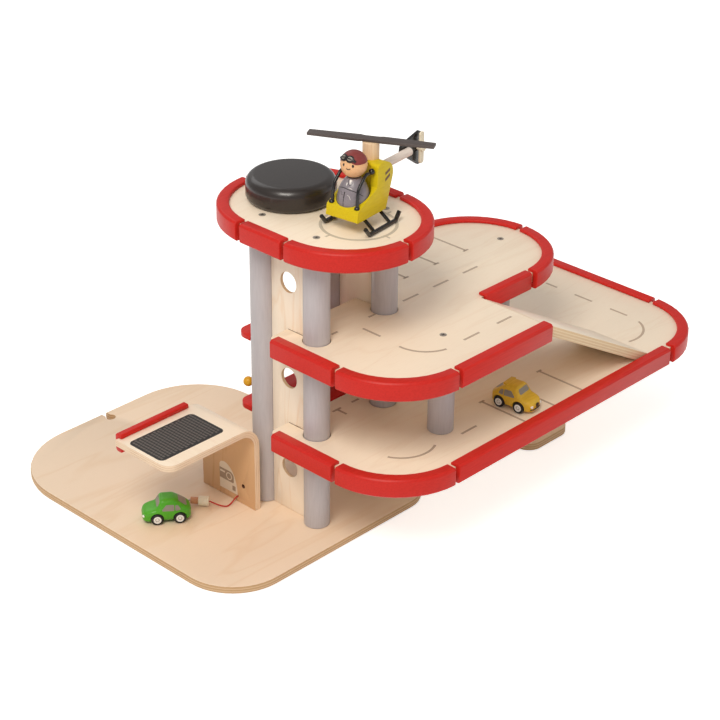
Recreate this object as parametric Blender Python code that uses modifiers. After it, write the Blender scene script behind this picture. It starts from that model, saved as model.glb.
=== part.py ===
"""Wooden toy garage: three decks on a dowel tower, with a lift, a ramp and toy vehicles.

Everything is placed in the tower's frame: the front left column stands on its origin, X runs
right along the decks, Y runs back and Z is height over the base's top. The empty named
garage_origin moves that frame so that the middle of the base's underside is the world origin.
"""
import math

import bmesh
import bpy
from mathutils import Matrix, Vector

MM = 0.001
WELD = 0.01 * MM
SHARP_ANGLE = math.radians(35.0)

# Fits
GAP = 0.3 * MM
HOLE_CLEARANCE = 0.8 * MM
LIFT_CLEARANCE = 1.3 * MM
AXLE_CLEARANCE = 0.35 * MM

# Sheets, dowels and levels
DECK_PLY = 11.0 * MM
BASE_PLY = 9.0 * MM
PANEL_PLY = 4.0 * MM
DOWEL_R = 14.0 * MM
LEVEL_LOW = 108.8 * MM
LEVEL_MID = 220.2 * MM
LEVEL_TOP = 335.8 * MM

# Tower
COLUMN_PITCH_X = 100.7 * MM
COLUMN_PITCH_Y = 78.0 * MM
TOWER_X = COLUMN_PITCH_X / 2
DECK_BACK_Y = 39.4 * MM
DECK_BACK_CORNER_R = 9.0 * MM
LAP_Y = 27.0 * MM
PORTHOLE_R = 11.5 * MM
PORTHOLE_RISE = 53.0 * MM

# Deck outlines
DECK_OVERHANG = 31.65 * MM
DECK_CORNER_R = 82.0 * MM
DECK_FRONT_Y = -146.5 * MM
DECK_STEP_X = 118.0 * MM
MID_INNER_X = 193.0 * MM
MID_INNER_Y = -55.0 * MM
MID_RIGHT_X = 357.0 * MM
LOW_RIGHT_X = 500.0 * MM
LOW_BACK_Y = 200.5 * MM
TOP_STRAIGHT = 63.5 * MM

# Rails
RAIL_RISE = 4.0 * MM
RAIL_HEIGHT = 21.7 * MM
RAIL_OUT = 7.0 * MM
RAIL_IN = 6.5 * MM
RAIL_OUT_BY_RAMP = 4.7 * MM
RAIL_ROUND = 2.2 * MM
RAIL_INSET = 2.8 * MM
RAIL_ARC_INSET = math.radians(2.0)
LEFT_JOINT_BACK = 3.6 * MM
RAIL_TOWER_GAP = 10.0 * MM
SHORT_OF_HALF = 0.01 * MM

# Ramp
RAMP_FOOT_X = 391.0 * MM
RAMP_FRONT_Y = -139.0 * MM
RAMP_WIDTH = 79.0 * MM
RAMP_PLY = 11.0 * MM

# Posts that hold the decks away from the tower
FRONT_POST_Y = -83.2 * MM
REAR_POST_X = 321.0 * MM
REAR_POST_Y = 27.4 * MM
FOOT_HALF_X = 38.0 * MM
FOOT_HALF_Y = 89.0 * MM
FOOT_CORNER_R = 18.0 * MM

# Base
BASE_LEFT_X = -164.5 * MM
BASE_RIGHT_X = 142.0 * MM
BASE_FRONT_Y = -43.3 * MM
BASE_BACK_Y = 344.0 * MM
BASE_BACK_LEFT_R = 92.0 * MM
BASE_BACK_RIGHT_R = 87.0 * MM
BASE_FRONT_LEFT_R = 63.0 * MM
BASE_FRONT_RIGHT_R = 38.0 * MM
BASE_EDGE_R = 2.0 * MM
KEYHOLE_X = -10.0 * MM
KEYHOLE_R = 6.0 * MM
KEYHOLE_NECK = 7.0 * MM
KEYHOLE_DEPTH = 19.0 * MM

# Canopy
CANOPY_PLY = 7.5 * MM
CANOPY_RIGHT_X = -23.5 * MM
CANOPY_LEFT_X = -151.0 * MM
CANOPY_FRONT_Y = 63.0 * MM
CANOPY_DEPTH = 83.2 * MM
CANOPY_HEIGHT = 105.0 * MM
CANOPY_BEND_R = 25.0 * MM
CANOPY_CORNER_R = 13.0 * MM
CANOPY_RAIL_RISE = 5.2 * MM
CANOPY_RAIL_INSET = 4.0 * MM
CANOPY_RAIL_OUT = 5.0 * MM
CANOPY_RAIL_IN = 4.5 * MM
CORD_HOLE_R = 1.6 * MM
CORD_HOLE_Y = 90.9 * MM
CORD_HOLE_Z = 6.6 * MM
PEG_HOLE_R = 2.5 * MM
PEG_HOLE_Y = 81.6 * MM
PEG_HOLE_Z = 23.1 * MM

# Charging cord and plug
CHARGE_CORD_R = 0.75 * MM
PLUG_R = 5.5 * MM
PLUG_LENGTH = 11.5 * MM
PLUG_NOSE_R = 3.8 * MM
PLUG_NOSE_LENGTH = 8.7 * MM
PLUG_TIP_R = 1.2 * MM
PLUG_TIP_LENGTH = 2.4 * MM
PLUG_X = -58.8 * MM
PLUG_Y = 106.5 * MM
PLUG_HEADING = math.radians(129.3)

# Lift
LIFT_PLY = 6.0 * MM
LIFT_FRONT_GAP = 2.1 * MM
LIFT_BACK_Y = 113.0 * MM
LIFT_SIDE_GAP = 3.0 * MM
LIFT_EAR = 7.5 * MM
LIFT_CORNER_R = 12.0 * MM
LIFT_HEIGHT = 85.5 * MM
LIFT_POST_R = 4.0 * MM
LIFT_POST_X = 10.0 * MM
LIFT_POST_Y = 97.0 * MM
KNOB_R = 5.5 * MM
KNOB_STEM_R = 2.0 * MM
KNOB_REACH = 12.0 * MM
KNOB_RISE = 22.7 * MM
KNOB_HEADING = math.radians(138.4)

# Winding wheel
WHEEL_X = 52.0 * MM
WHEEL_Y = 89.1 * MM
WHEEL_R = 47.5 * MM
WHEEL_THICK = 26.2 * MM
WHEEL_LIFT = 0.5 * MM
WHEEL_TOP_ROUND = 5.0 * MM
WHEEL_FOOT_ROUND = 3.0 * MM
SPINDLE_R = 4.0 * MM
SPINDLE_INTO_WHEEL = 14.0 * MM
DRUM_R = 12.0 * MM
DRUM_LENGTH = 14.0 * MM
FLANGE_R = 15.0 * MM
FLANGE_THICK = 1.5 * MM
LIFT_CORD_R = 0.6 * MM
EYE_Y = 58.0 * MM
EYE_R = 3.4 * MM
EYE_WIRE_R = 0.9 * MM
EYE_DROP = 10.5 * MM

# Toy cars
CAR_NOSE = 28.5 * MM
CAR_TAIL = 25.5 * MM
CAR_HALF_WIDTH = 13.4 * MM
CAR_HEIGHT = 28.5 * MM
CAR_FLOOR = 3.0 * MM
CAR_WHEEL_R = 6.5 * MM
CAR_WHEEL_WIDTH = 5.0 * MM
CAR_HALF_BASE = 12.1 * MM
CAR_TRACK_OUT = 14.0 * MM
CAR_AXLE_R = 1.3 * MM
ARCH_CLEARANCE = 0.9 * MM
GREEN_CAR_X = -106.4 * MM
GREEN_CAR_Y = 120.2 * MM
GREEN_CAR_HEADING = math.radians(144.1)
YELLOW_CAR_X = 194.0 * MM
YELLOW_CAR_Y = -106.9 * MM
YELLOW_CAR_HEADING = math.radians(-82.0)

# Helicopter
HELI_X = 72.4 * MM
HELI_Y = -4.6 * MM
HELI_HEADING = math.radians(187.5)
HELI_HALF_WIDTH = 19.5 * MM
HELI_BELLY = 15.5 * MM
HELI_ROOF = 66.5 * MM
HELI_NOSE_X = 49.0 * MM
HELI_NOSE_TOP = 30.3 * MM
HELI_TAIL_X = -17.0 * MM
HELI_TAIL_R = 14.0 * MM
HELI_SEAT_FRONT_X = 15.5 * MM
HELI_SEAT_TOP = 43.0 * MM
SEAT_X = 28.5 * MM
SEAT_R = 17.5 * MM
SEAT_FLOOR = 20.0 * MM
MAST_R = 8.6 * MM
MAST_TOP = 84.0 * MM
MAST_SUNK = 7.0 * MM
ROTOR_HALF = 65.5 * MM
ROTOR_ROOT = 12.0 * MM
ROTOR_CHORD = 13.0 * MM
ROTOR_THICK = 3.0 * MM
ROTOR_HEADING = math.radians(-61.5)
ROTOR_PIN_R = 2.0 * MM
BOOM_R = 4.5 * MM
BOOM_Z = 50.5 * MM
BOOM_ROOT_X = -1.0 * MM
BOOM_END_X = -68.0 * MM
FIN_THICK = 3.0 * MM
FIN_SUNK = 1.3 * MM
FIN_LENGTH = 40.0 * MM
FIN_HEIGHT = 38.0 * MM
FIN_CORNER_R = 2.0 * MM
TAIL_PIN_BACK = 20.0 * MM
TAIL_PIN_DROP = 2.0 * MM
TAIL_PIN_R = 1.5 * MM
TAIL_PIN_OUT = 1.0 * MM
TAIL_HUB_R = 4.0 * MM
TAIL_HUB_LENGTH = 7.0 * MM
TAIL_BLADE = 17.5 * MM
TAIL_BLADE_WIDTH = 7.0 * MM
TAIL_BLADE_THICK = 2.0 * MM
SKID_R = 2.3 * MM
SKID_Y = 27.4 * MM
SKID_FRONT_X = 39.0 * MM
SKID_BACK_X = -6.0 * MM
SKID_TURN_UP = 8.0 * MM
SKID_STRUT_R = 1.9 * MM
SKID_STRUT_INSET = 9.0 * MM
HELI_LIFT_GAP = GAP

# Pilot
PILOT_R = 17.0 * MM
HEAD_R = 13.8 * MM
HEAD_Z = 68.8 * MM
BAR_R = 1.75 * MM
BAR_BALL_R = 3.2 * MM
BAR_BALL_Z = 60.0 * MM
BAR_Y = 14.0 * MM

# Facets
DECK_ARC_STEP = math.radians(5.0)
RAIL_ARC_STEP = math.radians(7.5)
SECTION_ARC_STEP = math.radians(90.0)
SMALL_ARC_STEP = math.radians(15.0)
DOWEL_SIDES = 32
SMALL_SIDES = 20

# Derived places
TOP_UNDERSIDE = LEVEL_TOP - DECK_PLY
COLUMN_PLACES = {
    "front_left": (0.0, 0.0),
    "front_right": (COLUMN_PITCH_X, 0.0),
    "rear_left": (0.0, COLUMN_PITCH_Y),
    "rear_right": (COLUMN_PITCH_X, COLUMN_PITCH_Y),
}
DECK_LEFT_X = -DECK_OVERHANG
TOP_RIGHT_X = COLUMN_PITCH_X + DECK_OVERHANG
TOP_ARC_R = (TOP_RIGHT_X - DECK_LEFT_X) / 2
TOP_ARC_FRONT_Y = COLUMN_PITCH_Y / 2 - TOP_STRAIGHT / 2
TOP_ARC_BACK_Y = COLUMN_PITCH_Y / 2 + TOP_STRAIGHT / 2
DECK_ARC_X = DECK_LEFT_X + DECK_CORNER_R
DECK_ARC_Y = DECK_FRONT_Y + DECK_CORNER_R
LEFT_RAIL_FRONT_Y = DECK_ARC_Y + RAIL_INSET + LEFT_JOINT_BACK
MID_END_X = MID_RIGHT_X - DECK_CORNER_R
MID_END_Y = MID_INNER_Y + DECK_CORNER_R
MID_BACK_Y = MID_END_Y + DECK_CORNER_R
LOW_ARC_X = LOW_RIGHT_X - DECK_CORNER_R
LOW_ARC_BACK_Y = LOW_BACK_Y - DECK_CORNER_R
DRUM_TOP = TOP_UNDERSIDE - GAP
DRUM_BOTTOM = DRUM_TOP - DRUM_LENGTH
EYE_X = WHEEL_X + DRUM_R + LIFT_CORD_R + GAP
EYE_Z = TOP_UNDERSIDE - EYE_DROP

# The fin's corners as shares of its length behind the boom's end and its height over the boom
FIN_SHAPE = (
    (0.725, 0.29), (0.54, 0.395), (0.0, 0.276), (-0.26, 0.184), (-0.29, -0.013),
    (0.02, -0.237), (0.475, -0.571), (0.7, -0.592), (0.64, -0.145),
)
# The roll bars' route as shares of the seat's radius, the bars' spread and the ball's rise
BAR_ROUTE = ((0.0, 1.03, 0.98), (0.34, 1.06, 0.84), (0.74, 1.07, 0.56), (0.87, 1.12, -0.07))

WOOD = (0.86, 0.70, 0.50)
RED = (0.67, 0.04, 0.03)
GREY = (0.39, 0.34, 0.33)
BLACK = (0.04, 0.03, 0.03)
CREAM = (0.84, 0.73, 0.55)


def clear_scene():
    """Remove every object, so the script can run again in an open file."""
    for item in list(bpy.data.objects):
        bpy.data.objects.remove(item, do_unlink=True)


def make_collection(name):
    """Return a new collection under the scene's own."""
    collection = bpy.data.collections.new(name)
    bpy.context.scene.collection.children.link(collection)
    return collection


def make_material(name, colour, roughness, metallic=0.0):
    """Return a Principled material."""
    material = bpy.data.materials.new(name)
    material.use_nodes = True
    shader = material.node_tree.nodes["Principled BSDF"]
    shader.inputs["Base Color"].default_value = (*colour, 1.0)
    shader.inputs["Roughness"].default_value = roughness
    shader.inputs["Metallic"].default_value = metallic
    return material


class Builder:
    """Holds the collections and the empty that the pieces hang from."""

    def __init__(self):
        clear_scene()
        self.parts = make_collection("wooden_toy_garage")
        self.cutters = make_collection("cutters")
        self.cutters.hide_render = True
        centre = Vector((BASE_LEFT_X + BASE_RIGHT_X, BASE_FRONT_Y + BASE_BACK_Y, -2 * BASE_PLY)) / 2
        self.origin = self.empty("garage_origin", -centre, 0.0, None)

    def empty(self, name, place, heading, parent):
        """Add an empty that carries a vehicle or another moving group."""
        item = bpy.data.objects.new(name, None)
        item.location = place
        item.rotation_euler = (0.0, 0.0, heading)
        item.parent = parent
        self.parts.objects.link(item)
        bpy.context.view_layer.update()
        return item

    def piece(self, item, colour, roughness=0.5, metallic=0.0, parent=None):
        """Make an object one of the garage's pieces, with its own material."""
        self.parts.objects.link(item)
        item.parent = parent or self.origin
        item.data.materials.clear()
        item.data.materials.append(make_material(item.name, colour, roughness, metallic))
        return item

    def cut(self, target, cutter, operation="DIFFERENCE"):
        """Cut a piece with a hidden cutter that shares the piece's parent."""
        self.cutters.objects.link(cutter)
        cutter.parent = target.parent
        cutter.display_type = "WIRE"
        cutter.hide_render = True
        change = target.modifiers.new(cutter.name, "BOOLEAN")
        change.operation = operation
        change.solver = "EXACT"
        change.object = cutter
        return target


def rounded(corners, arc_step=SMALL_ARC_STEP):
    """Turn (x, y, radius) corners into points, with an arc where the radius isn't zero."""
    points = []
    for index, (x, y, radius) in enumerate(corners):
        corner = Vector((x, y))
        if radius <= 0.0:
            points.append(corner)
            continue
        back = (Vector(corners[index - 1][:2]) - corner).normalized()
        ahead = (Vector(corners[(index + 1) % len(corners)][:2]) - corner).normalized()
        half = back.angle(ahead) / 2
        centre = corner + (back + ahead).normalized() * radius / math.sin(half)
        start = corner + back * radius / math.tan(half) - centre
        turn = math.pi - 2 * half
        if back.x * ahead.y - back.y * ahead.x > 0:
            turn = -turn
        steps = max(1, math.ceil(abs(turn) / arc_step - 1e-6))
        for step in range(steps + 1):
            swing = Matrix.Rotation(turn * step / steps, 2)
            points.append(centre + swing @ start)
    return points


def circle(x, y, radius, sides=SMALL_SIDES):
    """Return the points of a circle."""
    turns = [2 * math.pi * (side + 0.5) / sides for side in range(sides)]
    return [Vector((x + radius * math.cos(turn), y + radius * math.sin(turn))) for turn in turns]


def smooth(mesh):
    """Shade a mesh smooth, with its corners left sharp."""
    mesh.shade_smooth()
    mesh.set_sharp_from_angle(angle=SHARP_ANGLE)


def mesh_object(name, source):
    """Return a mesh object with the evaluated, welded mesh of another object, which goes."""
    scene_collection = bpy.context.scene.collection
    scene_collection.objects.link(source)
    bpy.context.view_layer.update()
    evaluated = source.evaluated_get(bpy.context.evaluated_depsgraph_get())
    mesh = bpy.data.meshes.new_from_object(evaluated)
    place = source.matrix_world.copy()
    bpy.data.objects.remove(source, do_unlink=True)
    body = bmesh.new()
    body.from_mesh(mesh)
    bmesh.ops.remove_doubles(body, verts=body.verts, dist=WELD)
    bmesh.ops.recalc_face_normals(body, faces=body.faces)
    body.to_mesh(mesh)
    body.free()
    smooth(mesh)
    item = bpy.data.objects.new(name, mesh)
    item.matrix_world = place
    return item


def slab(name, outlines, bottom, thickness, edge_round=0.0):
    """Return a level slab from outlines: the first is its edge and the rest are holes."""
    curve = bpy.data.curves.new(name, "CURVE")
    curve.dimensions = "2D"
    curve.fill_mode = "BOTH"
    curve.extrude = thickness / 2 - edge_round
    curve.bevel_depth = edge_round
    curve.bevel_resolution = 1
    curve.offset = -edge_round
    for outline in outlines:
        spline = curve.splines.new("POLY")
        spline.points.add(len(outline) - 1)
        spline.use_cyclic_u = True
        for point, place in zip(spline.points, outline):
            point.co = (place.x, place.y, 0.0, 1.0)
    item = bpy.data.objects.new(name, curve)
    item.location.z = bottom + thickness / 2
    return mesh_object(name, item)


def upright(name, outlines, middle_y, width):
    """Return a slab that stands on edge: its outlines are in X and Z, its width along Y."""
    item = slab(name, outlines, -width / 2, width)
    item.rotation_euler = (math.pi / 2, 0.0, 0.0)
    item.location = (0.0, middle_y, 0.0)
    return item


def turned(name, profile, sides=SMALL_SIDES):
    """Return a turned piece from (radius, height) points, with a Screw modifier."""
    mesh = bpy.data.meshes.new(name)
    points = [(radius, 0.0, height) for radius, height in profile]
    edges = [(index, index + 1) for index in range(len(points) - 1)]
    mesh.from_pydata(points, edges, [])
    item = bpy.data.objects.new(name, mesh)
    screw = item.modifiers.new("turn", "SCREW")
    screw.steps = sides
    screw.render_steps = sides
    screw.use_merge_vertices = True
    screw.merge_threshold = WELD
    return mesh_object(name, item)


def peg(name, x, y, bottom, top, radius, sides=SMALL_SIDES):
    """Return an upright cylinder."""
    item = turned(name, [(0.0, 0.0), (radius, 0.0), (radius, top - bottom), (0.0, top - bottom)], sides)
    item.location = (x, y, bottom)
    return item


def tube(name, points, radius, swell=None, bevel_resolution=2):
    """Return a round tube through points; swell holds each point's share of the radius."""
    curve = bpy.data.curves.new(name, "CURVE")
    curve.dimensions = "3D"
    curve.bevel_depth = radius
    curve.bevel_resolution = bevel_resolution
    curve.use_fill_caps = True
    spline = curve.splines.new("POLY")
    spline.points.add(len(points) - 1)
    shares = swell or [1.0] * len(points)
    for point, place, share in zip(spline.points, points, shares):
        point.co = (*place, 1.0)
        point.radius = share
    return bpy.data.objects.new(name, curve)


def smooth_route(stations, spacing):
    """Return points along a smooth curve through the stations, about a spacing apart."""
    route = [Vector(station) for station in stations]
    ends = [2 * route[0] - route[1]] + route + [2 * route[-1] - route[-2]]
    dense = []
    for before, start, stop, after in zip(ends, ends[1:], ends[2:], ends[3:]):
        steps = max(1, round((stop - start).length / spacing))
        for step in range(steps):
            t = step / steps
            bend = 2 * start + (stop - before) * t
            bend += (2 * before - 5 * start + 4 * stop - after) * t ** 2
            bend += (3 * start - before - 3 * stop + after) * t ** 3
            dense.append(bend / 2)
    return dense + [route[-1]]


def rail_section(ply, rise, inner, outer):
    """Return a grooved rail's outline: distance out from the deck's edge, height over its top."""
    foot = rise - RAIL_HEIGHT
    corners = (
        (-inner, rise, RAIL_ROUND / 2),
        (-inner, GAP, 0.0),
        (GAP, GAP, 0.0),
        (GAP, -ply - GAP, 0.0),
        (-inner, -ply - GAP, 0.0),
        (-inner, foot, RAIL_ROUND / 2),
        (outer, foot, RAIL_ROUND),
        (outer, rise, RAIL_ROUND),
    )
    return rounded(corners, SECTION_ARC_STEP)


DECK_RAIL = (DECK_PLY, RAIL_RISE, RAIL_IN, RAIL_OUT)
RAIL_BY_RAMP = (DECK_PLY, RAIL_RISE, RAIL_IN, RAIL_OUT_BY_RAMP)
CANOPY_RAIL = (CANOPY_PLY, CANOPY_RAIL_RISE, CANOPY_RAIL_IN, CANOPY_RAIL_OUT)


def straight_rail(body, start, length, heading, outward, level, sizes=DECK_RAIL):
    """Sweep the rail section along a straight edge into a mesh under construction."""
    along = Vector((math.cos(heading), math.sin(heading), 0.0))
    out = Vector((math.cos(outward), math.sin(outward), 0.0))
    base = Vector((*start, level))
    section = rail_section(*sizes)
    ring = [body.verts.new(base + out * point.x + Vector((0.0, 0.0, point.y))) for point in section]
    face = body.faces.new(ring)
    grown = bmesh.ops.extrude_face_region(body, geom=[face])["geom"]
    moved = [part for part in grown if isinstance(part, bmesh.types.BMVert)]
    bmesh.ops.translate(body, verts=moved, vec=along * length)


def arc_rail(body, centre, radius, first, last, level):
    """Sweep the rail section round a corner into a mesh under construction."""
    out = Vector((math.cos(first), math.sin(first), 0.0))
    base = Vector((*centre, level))
    ring = []
    for point in rail_section(*DECK_RAIL):
        ring.append(body.verts.new(base + out * (radius + point.x) + Vector((0.0, 0.0, point.y))))
    face = body.faces.new(ring)
    steps = max(2, math.ceil((last - first) / RAIL_ARC_STEP))
    geometry = ring + list(face.edges) + [face]
    bmesh.ops.spin(
        body, geom=geometry, cent=base, axis=(0.0, 0.0, 1.0), angle=last - first, steps=steps,
    )


def rail(build, name, sweep):
    """Add one rail, whose sweep fills its mesh."""
    body = bmesh.new()
    sweep(body)
    bmesh.ops.recalc_face_normals(body, faces=body.faces)
    mesh = bpy.data.meshes.new(name)
    body.to_mesh(mesh)
    body.free()
    smooth(mesh)
    return build.piece(bpy.data.objects.new(name, mesh), RED, 0.35)


def along_x(first_x, last_x, edge_y, outward, level, sizes=DECK_RAIL):
    """Return the sweep of a rail along X."""
    length = last_x - first_x
    return lambda body: straight_rail(body, (first_x, edge_y), length, 0.0, outward, level, sizes)


def along_y(edge_x, first_y, last_y, outward, level):
    """Return the sweep of a rail along Y."""
    turn = math.pi / 2
    return lambda body: straight_rail(body, (edge_x, first_y), last_y - first_y, turn, outward, level)


def round_corner(x, y, radius, quarter, level):
    """Return the sweep of a rail round one quarter; quarter 0 starts at +X."""
    first = quarter * math.pi / 2 + RAIL_ARC_INSET
    last = (quarter + 1) * math.pi / 2 - RAIL_ARC_INSET
    back = LEFT_JOINT_BACK / radius
    if quarter == 1:
        last -= back
    if quarter == 2:
        first -= back
    return lambda body: arc_rail(body, (x, y), radius, first, last, level)


FACING_RIGHT, FACING_BACK, FACING_LEFT, FACING_FRONT = (quarter * math.pi / 2 for quarter in range(4))


def lower_rails(build):
    """Add the rails of the lower deck."""
    front_start = DECK_ARC_X + RAIL_INSET
    rail(build, "lower_rail_left", along_y(
        DECK_LEFT_X, LEFT_RAIL_FRONT_Y, DECK_BACK_Y - RAIL_TOWER_GAP, FACING_LEFT, LEVEL_LOW))
    rail(build, "lower_rail_front_left", round_corner(
        DECK_ARC_X, DECK_ARC_Y, DECK_CORNER_R, 2, LEVEL_LOW))
    rail(build, "lower_rail_front", along_x(
        front_start, LOW_ARC_X - 2 * RAIL_INSET, DECK_FRONT_Y, FACING_FRONT, LEVEL_LOW))
    rail(build, "lower_rail_front_right", round_corner(
        LOW_ARC_X, DECK_ARC_Y, DECK_CORNER_R, 3, LEVEL_LOW))
    rail(build, "lower_rail_right", along_y(
        LOW_RIGHT_X, DECK_ARC_Y + RAIL_INSET, LOW_ARC_BACK_Y - RAIL_INSET, FACING_RIGHT, LEVEL_LOW))
    rail(build, "lower_rail_back_right", round_corner(
        LOW_ARC_X, LOW_ARC_BACK_Y, DECK_CORNER_R, 0, LEVEL_LOW))
    rail(build, "lower_rail_back", along_x(
        DECK_STEP_X + RAIL_INSET, LOW_ARC_X - RAIL_INSET, LOW_BACK_Y, FACING_BACK, LEVEL_LOW))


def middle_rails(build):
    """Add the rails of the middle deck."""
    rail(build, "middle_rail_left", along_y(
        DECK_LEFT_X, LEFT_RAIL_FRONT_Y, DECK_BACK_Y - RAIL_TOWER_GAP, FACING_LEFT, LEVEL_MID))
    rail(build, "middle_rail_front_left", round_corner(
        DECK_ARC_X, DECK_ARC_Y, DECK_CORNER_R, 2, LEVEL_MID))
    rail(build, "middle_rail_front", along_x(
        DECK_ARC_X + RAIL_INSET, MID_INNER_X, DECK_FRONT_Y, FACING_FRONT, LEVEL_MID))
    rail(build, "middle_rail_inner", along_x(
        MID_INNER_X + RAIL_INSET, MID_END_X - RAIL_INSET, MID_INNER_Y, FACING_FRONT, LEVEL_MID,
        RAIL_BY_RAMP))
    rail(build, "middle_rail_front_right", round_corner(
        MID_END_X, MID_END_Y, DECK_CORNER_R, 3, LEVEL_MID))
    rail(build, "middle_rail_back_right", round_corner(
        MID_END_X, MID_END_Y, DECK_CORNER_R, 0, LEVEL_MID))
    rail(build, "middle_rail_back", along_x(
        DECK_STEP_X + RAIL_INSET, MID_END_X - RAIL_INSET, MID_BACK_Y, FACING_BACK, LEVEL_MID))


def top_rails(build):
    """Add the top deck's six rails: one on each side and four round its ends."""
    corners = (
        ("back_right", 0, TOP_ARC_BACK_Y), ("back_left", 1, TOP_ARC_BACK_Y),
        ("front_left", 2, TOP_ARC_FRONT_Y), ("front_right", 3, TOP_ARC_FRONT_Y),
    )
    for name, quarter, y in corners:
        rail(build, "top_rail_" + name, round_corner(TOWER_X, y, TOP_ARC_R, quarter, LEVEL_TOP))
    first, last = TOP_ARC_FRONT_Y + RAIL_INSET, TOP_ARC_BACK_Y - RAIL_INSET
    rail(build, "top_rail_left", along_y(
        DECK_LEFT_X, first + LEFT_JOINT_BACK, last + LEFT_JOINT_BACK, FACING_LEFT, LEVEL_TOP))
    rail(build, "top_rail_right", along_y(TOP_RIGHT_X, first, last, FACING_RIGHT, LEVEL_TOP))


def lap_notches():
    """Return the corners of the two slots in a deck's back edge that hold the tower panels."""
    half = PANEL_PLY / 2 + GAP
    corners = []
    for x in (COLUMN_PITCH_X, 0.0):
        corners.append((x + half, DECK_BACK_Y, 0.0))
        corners.append((x + half, LAP_Y - GAP / 2, 0.0))
        corners.append((x - half, LAP_Y - GAP / 2, 0.0))
        corners.append((x - half, DECK_BACK_Y, 0.0))
    return corners


def column_holes(names):
    """Return the outlines of the holes that columns pass through."""
    return [circle(*COLUMN_PLACES[name], DOWEL_R + HOLE_CLEARANCE, DOWEL_SIDES) for name in names]


def decks(build):
    """Add the three decks."""
    low = [
        (DECK_LEFT_X, DECK_FRONT_Y, DECK_CORNER_R),
        (LOW_RIGHT_X, DECK_FRONT_Y, DECK_CORNER_R),
        (LOW_RIGHT_X, LOW_BACK_Y, DECK_CORNER_R),
        (DECK_STEP_X, LOW_BACK_Y, 0.0),
        (DECK_STEP_X, DECK_BACK_Y, 0.0),
        *lap_notches(),
        (DECK_LEFT_X, DECK_BACK_Y, DECK_BACK_CORNER_R),
    ]
    holes = column_holes(("front_left", "front_right"))
    outline = rounded(low, DECK_ARC_STEP)
    build.piece(slab("lower_deck", [outline, *holes], LEVEL_LOW - DECK_PLY, DECK_PLY), WOOD)
    middle = [
        (DECK_LEFT_X, DECK_FRONT_Y, DECK_CORNER_R),
        (MID_INNER_X, DECK_FRONT_Y, 0.0),
        (MID_INNER_X, MID_INNER_Y, 0.0),
        (MID_RIGHT_X, MID_INNER_Y, DECK_CORNER_R - SHORT_OF_HALF),
        (MID_RIGHT_X, MID_BACK_Y, DECK_CORNER_R - SHORT_OF_HALF),
        (DECK_STEP_X, MID_BACK_Y, 0.0),
        (DECK_STEP_X, DECK_BACK_Y, 0.0),
        *lap_notches(),
        (DECK_LEFT_X, DECK_BACK_Y, DECK_BACK_CORNER_R),
    ]
    outline = rounded(middle, DECK_ARC_STEP)
    build.piece(slab("middle_deck", [outline, *holes], LEVEL_MID - DECK_PLY, DECK_PLY), WOOD)
    ends = [
        (DECK_LEFT_X, TOP_ARC_FRONT_Y - TOP_ARC_R, TOP_ARC_R - SHORT_OF_HALF),
        (TOP_RIGHT_X, TOP_ARC_FRONT_Y - TOP_ARC_R, TOP_ARC_R - SHORT_OF_HALF),
        (TOP_RIGHT_X, TOP_ARC_BACK_Y + TOP_ARC_R, TOP_ARC_R - SHORT_OF_HALF),
        (DECK_LEFT_X, TOP_ARC_BACK_Y + TOP_ARC_R, TOP_ARC_R - SHORT_OF_HALF),
    ]
    spindle_hole = circle(WHEEL_X, WHEEL_Y, SPINDLE_R + GAP)
    outline = rounded(ends, DECK_ARC_STEP)
    build.piece(slab("top_deck", [outline, spindle_hole], TOP_UNDERSIDE, DECK_PLY), WOOD)


def dowel(build, name, place, bottom, top):
    """Add a column that stands between two surfaces."""
    return build.piece(peg(name, *place, bottom + GAP, top - GAP, DOWEL_R, DOWEL_SIDES), GREY, 0.45)


def tower(build):
    """Add the tower's columns and the two panels between them."""
    for name, place in COLUMN_PLACES.items():
        dowel(build, "tower_column_" + name, place, 0.0, TOP_UNDERSIDE)
    front, back = DOWEL_R + GAP, COLUMN_PITCH_Y - DOWEL_R - GAP
    lap = LAP_Y + GAP / 2
    corners = [(front, GAP), (back, GAP), (back, TOP_UNDERSIDE - GAP), (front, TOP_UNDERSIDE - GAP)]
    for level in (LEVEL_MID, LEVEL_LOW):
        above, below = level + GAP, level - DECK_PLY - GAP
        corners += [(front, above), (lap, above), (lap, below), (front, below)]
    outline = [Vector(corner) for corner in corners]
    levels = (0.0, LEVEL_LOW, LEVEL_MID)
    windows = [circle(COLUMN_PITCH_Y / 2, level + PORTHOLE_RISE, PORTHOLE_R, 28) for level in levels]
    stand = Matrix.Rotation(math.pi / 2, 4, "Z") @ Matrix.Rotation(math.pi / 2, 4, "X")
    for name, x in (("tower_panel_left", 0.0), ("tower_panel_right", COLUMN_PITCH_X)):
        panel = slab(name, [outline, *windows], -PANEL_PLY / 2, PANEL_PLY)
        panel.data.transform(stand)
        panel.location.x = x
        build.piece(panel, WOOD)


def posts(build):
    """Add the posts under the decks' far ends; the lowest is glued into its foot."""
    rear = (REAR_POST_X, REAR_POST_Y)
    dowel(build, "front_post", (COLUMN_PITCH_X, FRONT_POST_Y), LEVEL_LOW, LEVEL_MID - DECK_PLY)
    dowel(build, "rear_post", rear, LEVEL_LOW, LEVEL_MID - DECK_PLY)
    left, right = REAR_POST_X - FOOT_HALF_X, REAR_POST_X + FOOT_HALF_X
    front, back = REAR_POST_Y - FOOT_HALF_Y, REAR_POST_Y + FOOT_HALF_Y
    corners = [(left, front), (right, front), (right, back), (left, back)]
    outline = rounded([(x, y, FOOT_CORNER_R) for x, y in corners])
    foot = build.piece(slab("foot", [outline], -BASE_PLY, BASE_PLY), WOOD)
    post = peg("foot_post", *rear, -BASE_PLY / 2, LEVEL_LOW - DECK_PLY - GAP, DOWEL_R, DOWEL_SIDES)
    build.cut(foot, post, "UNION")


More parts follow.
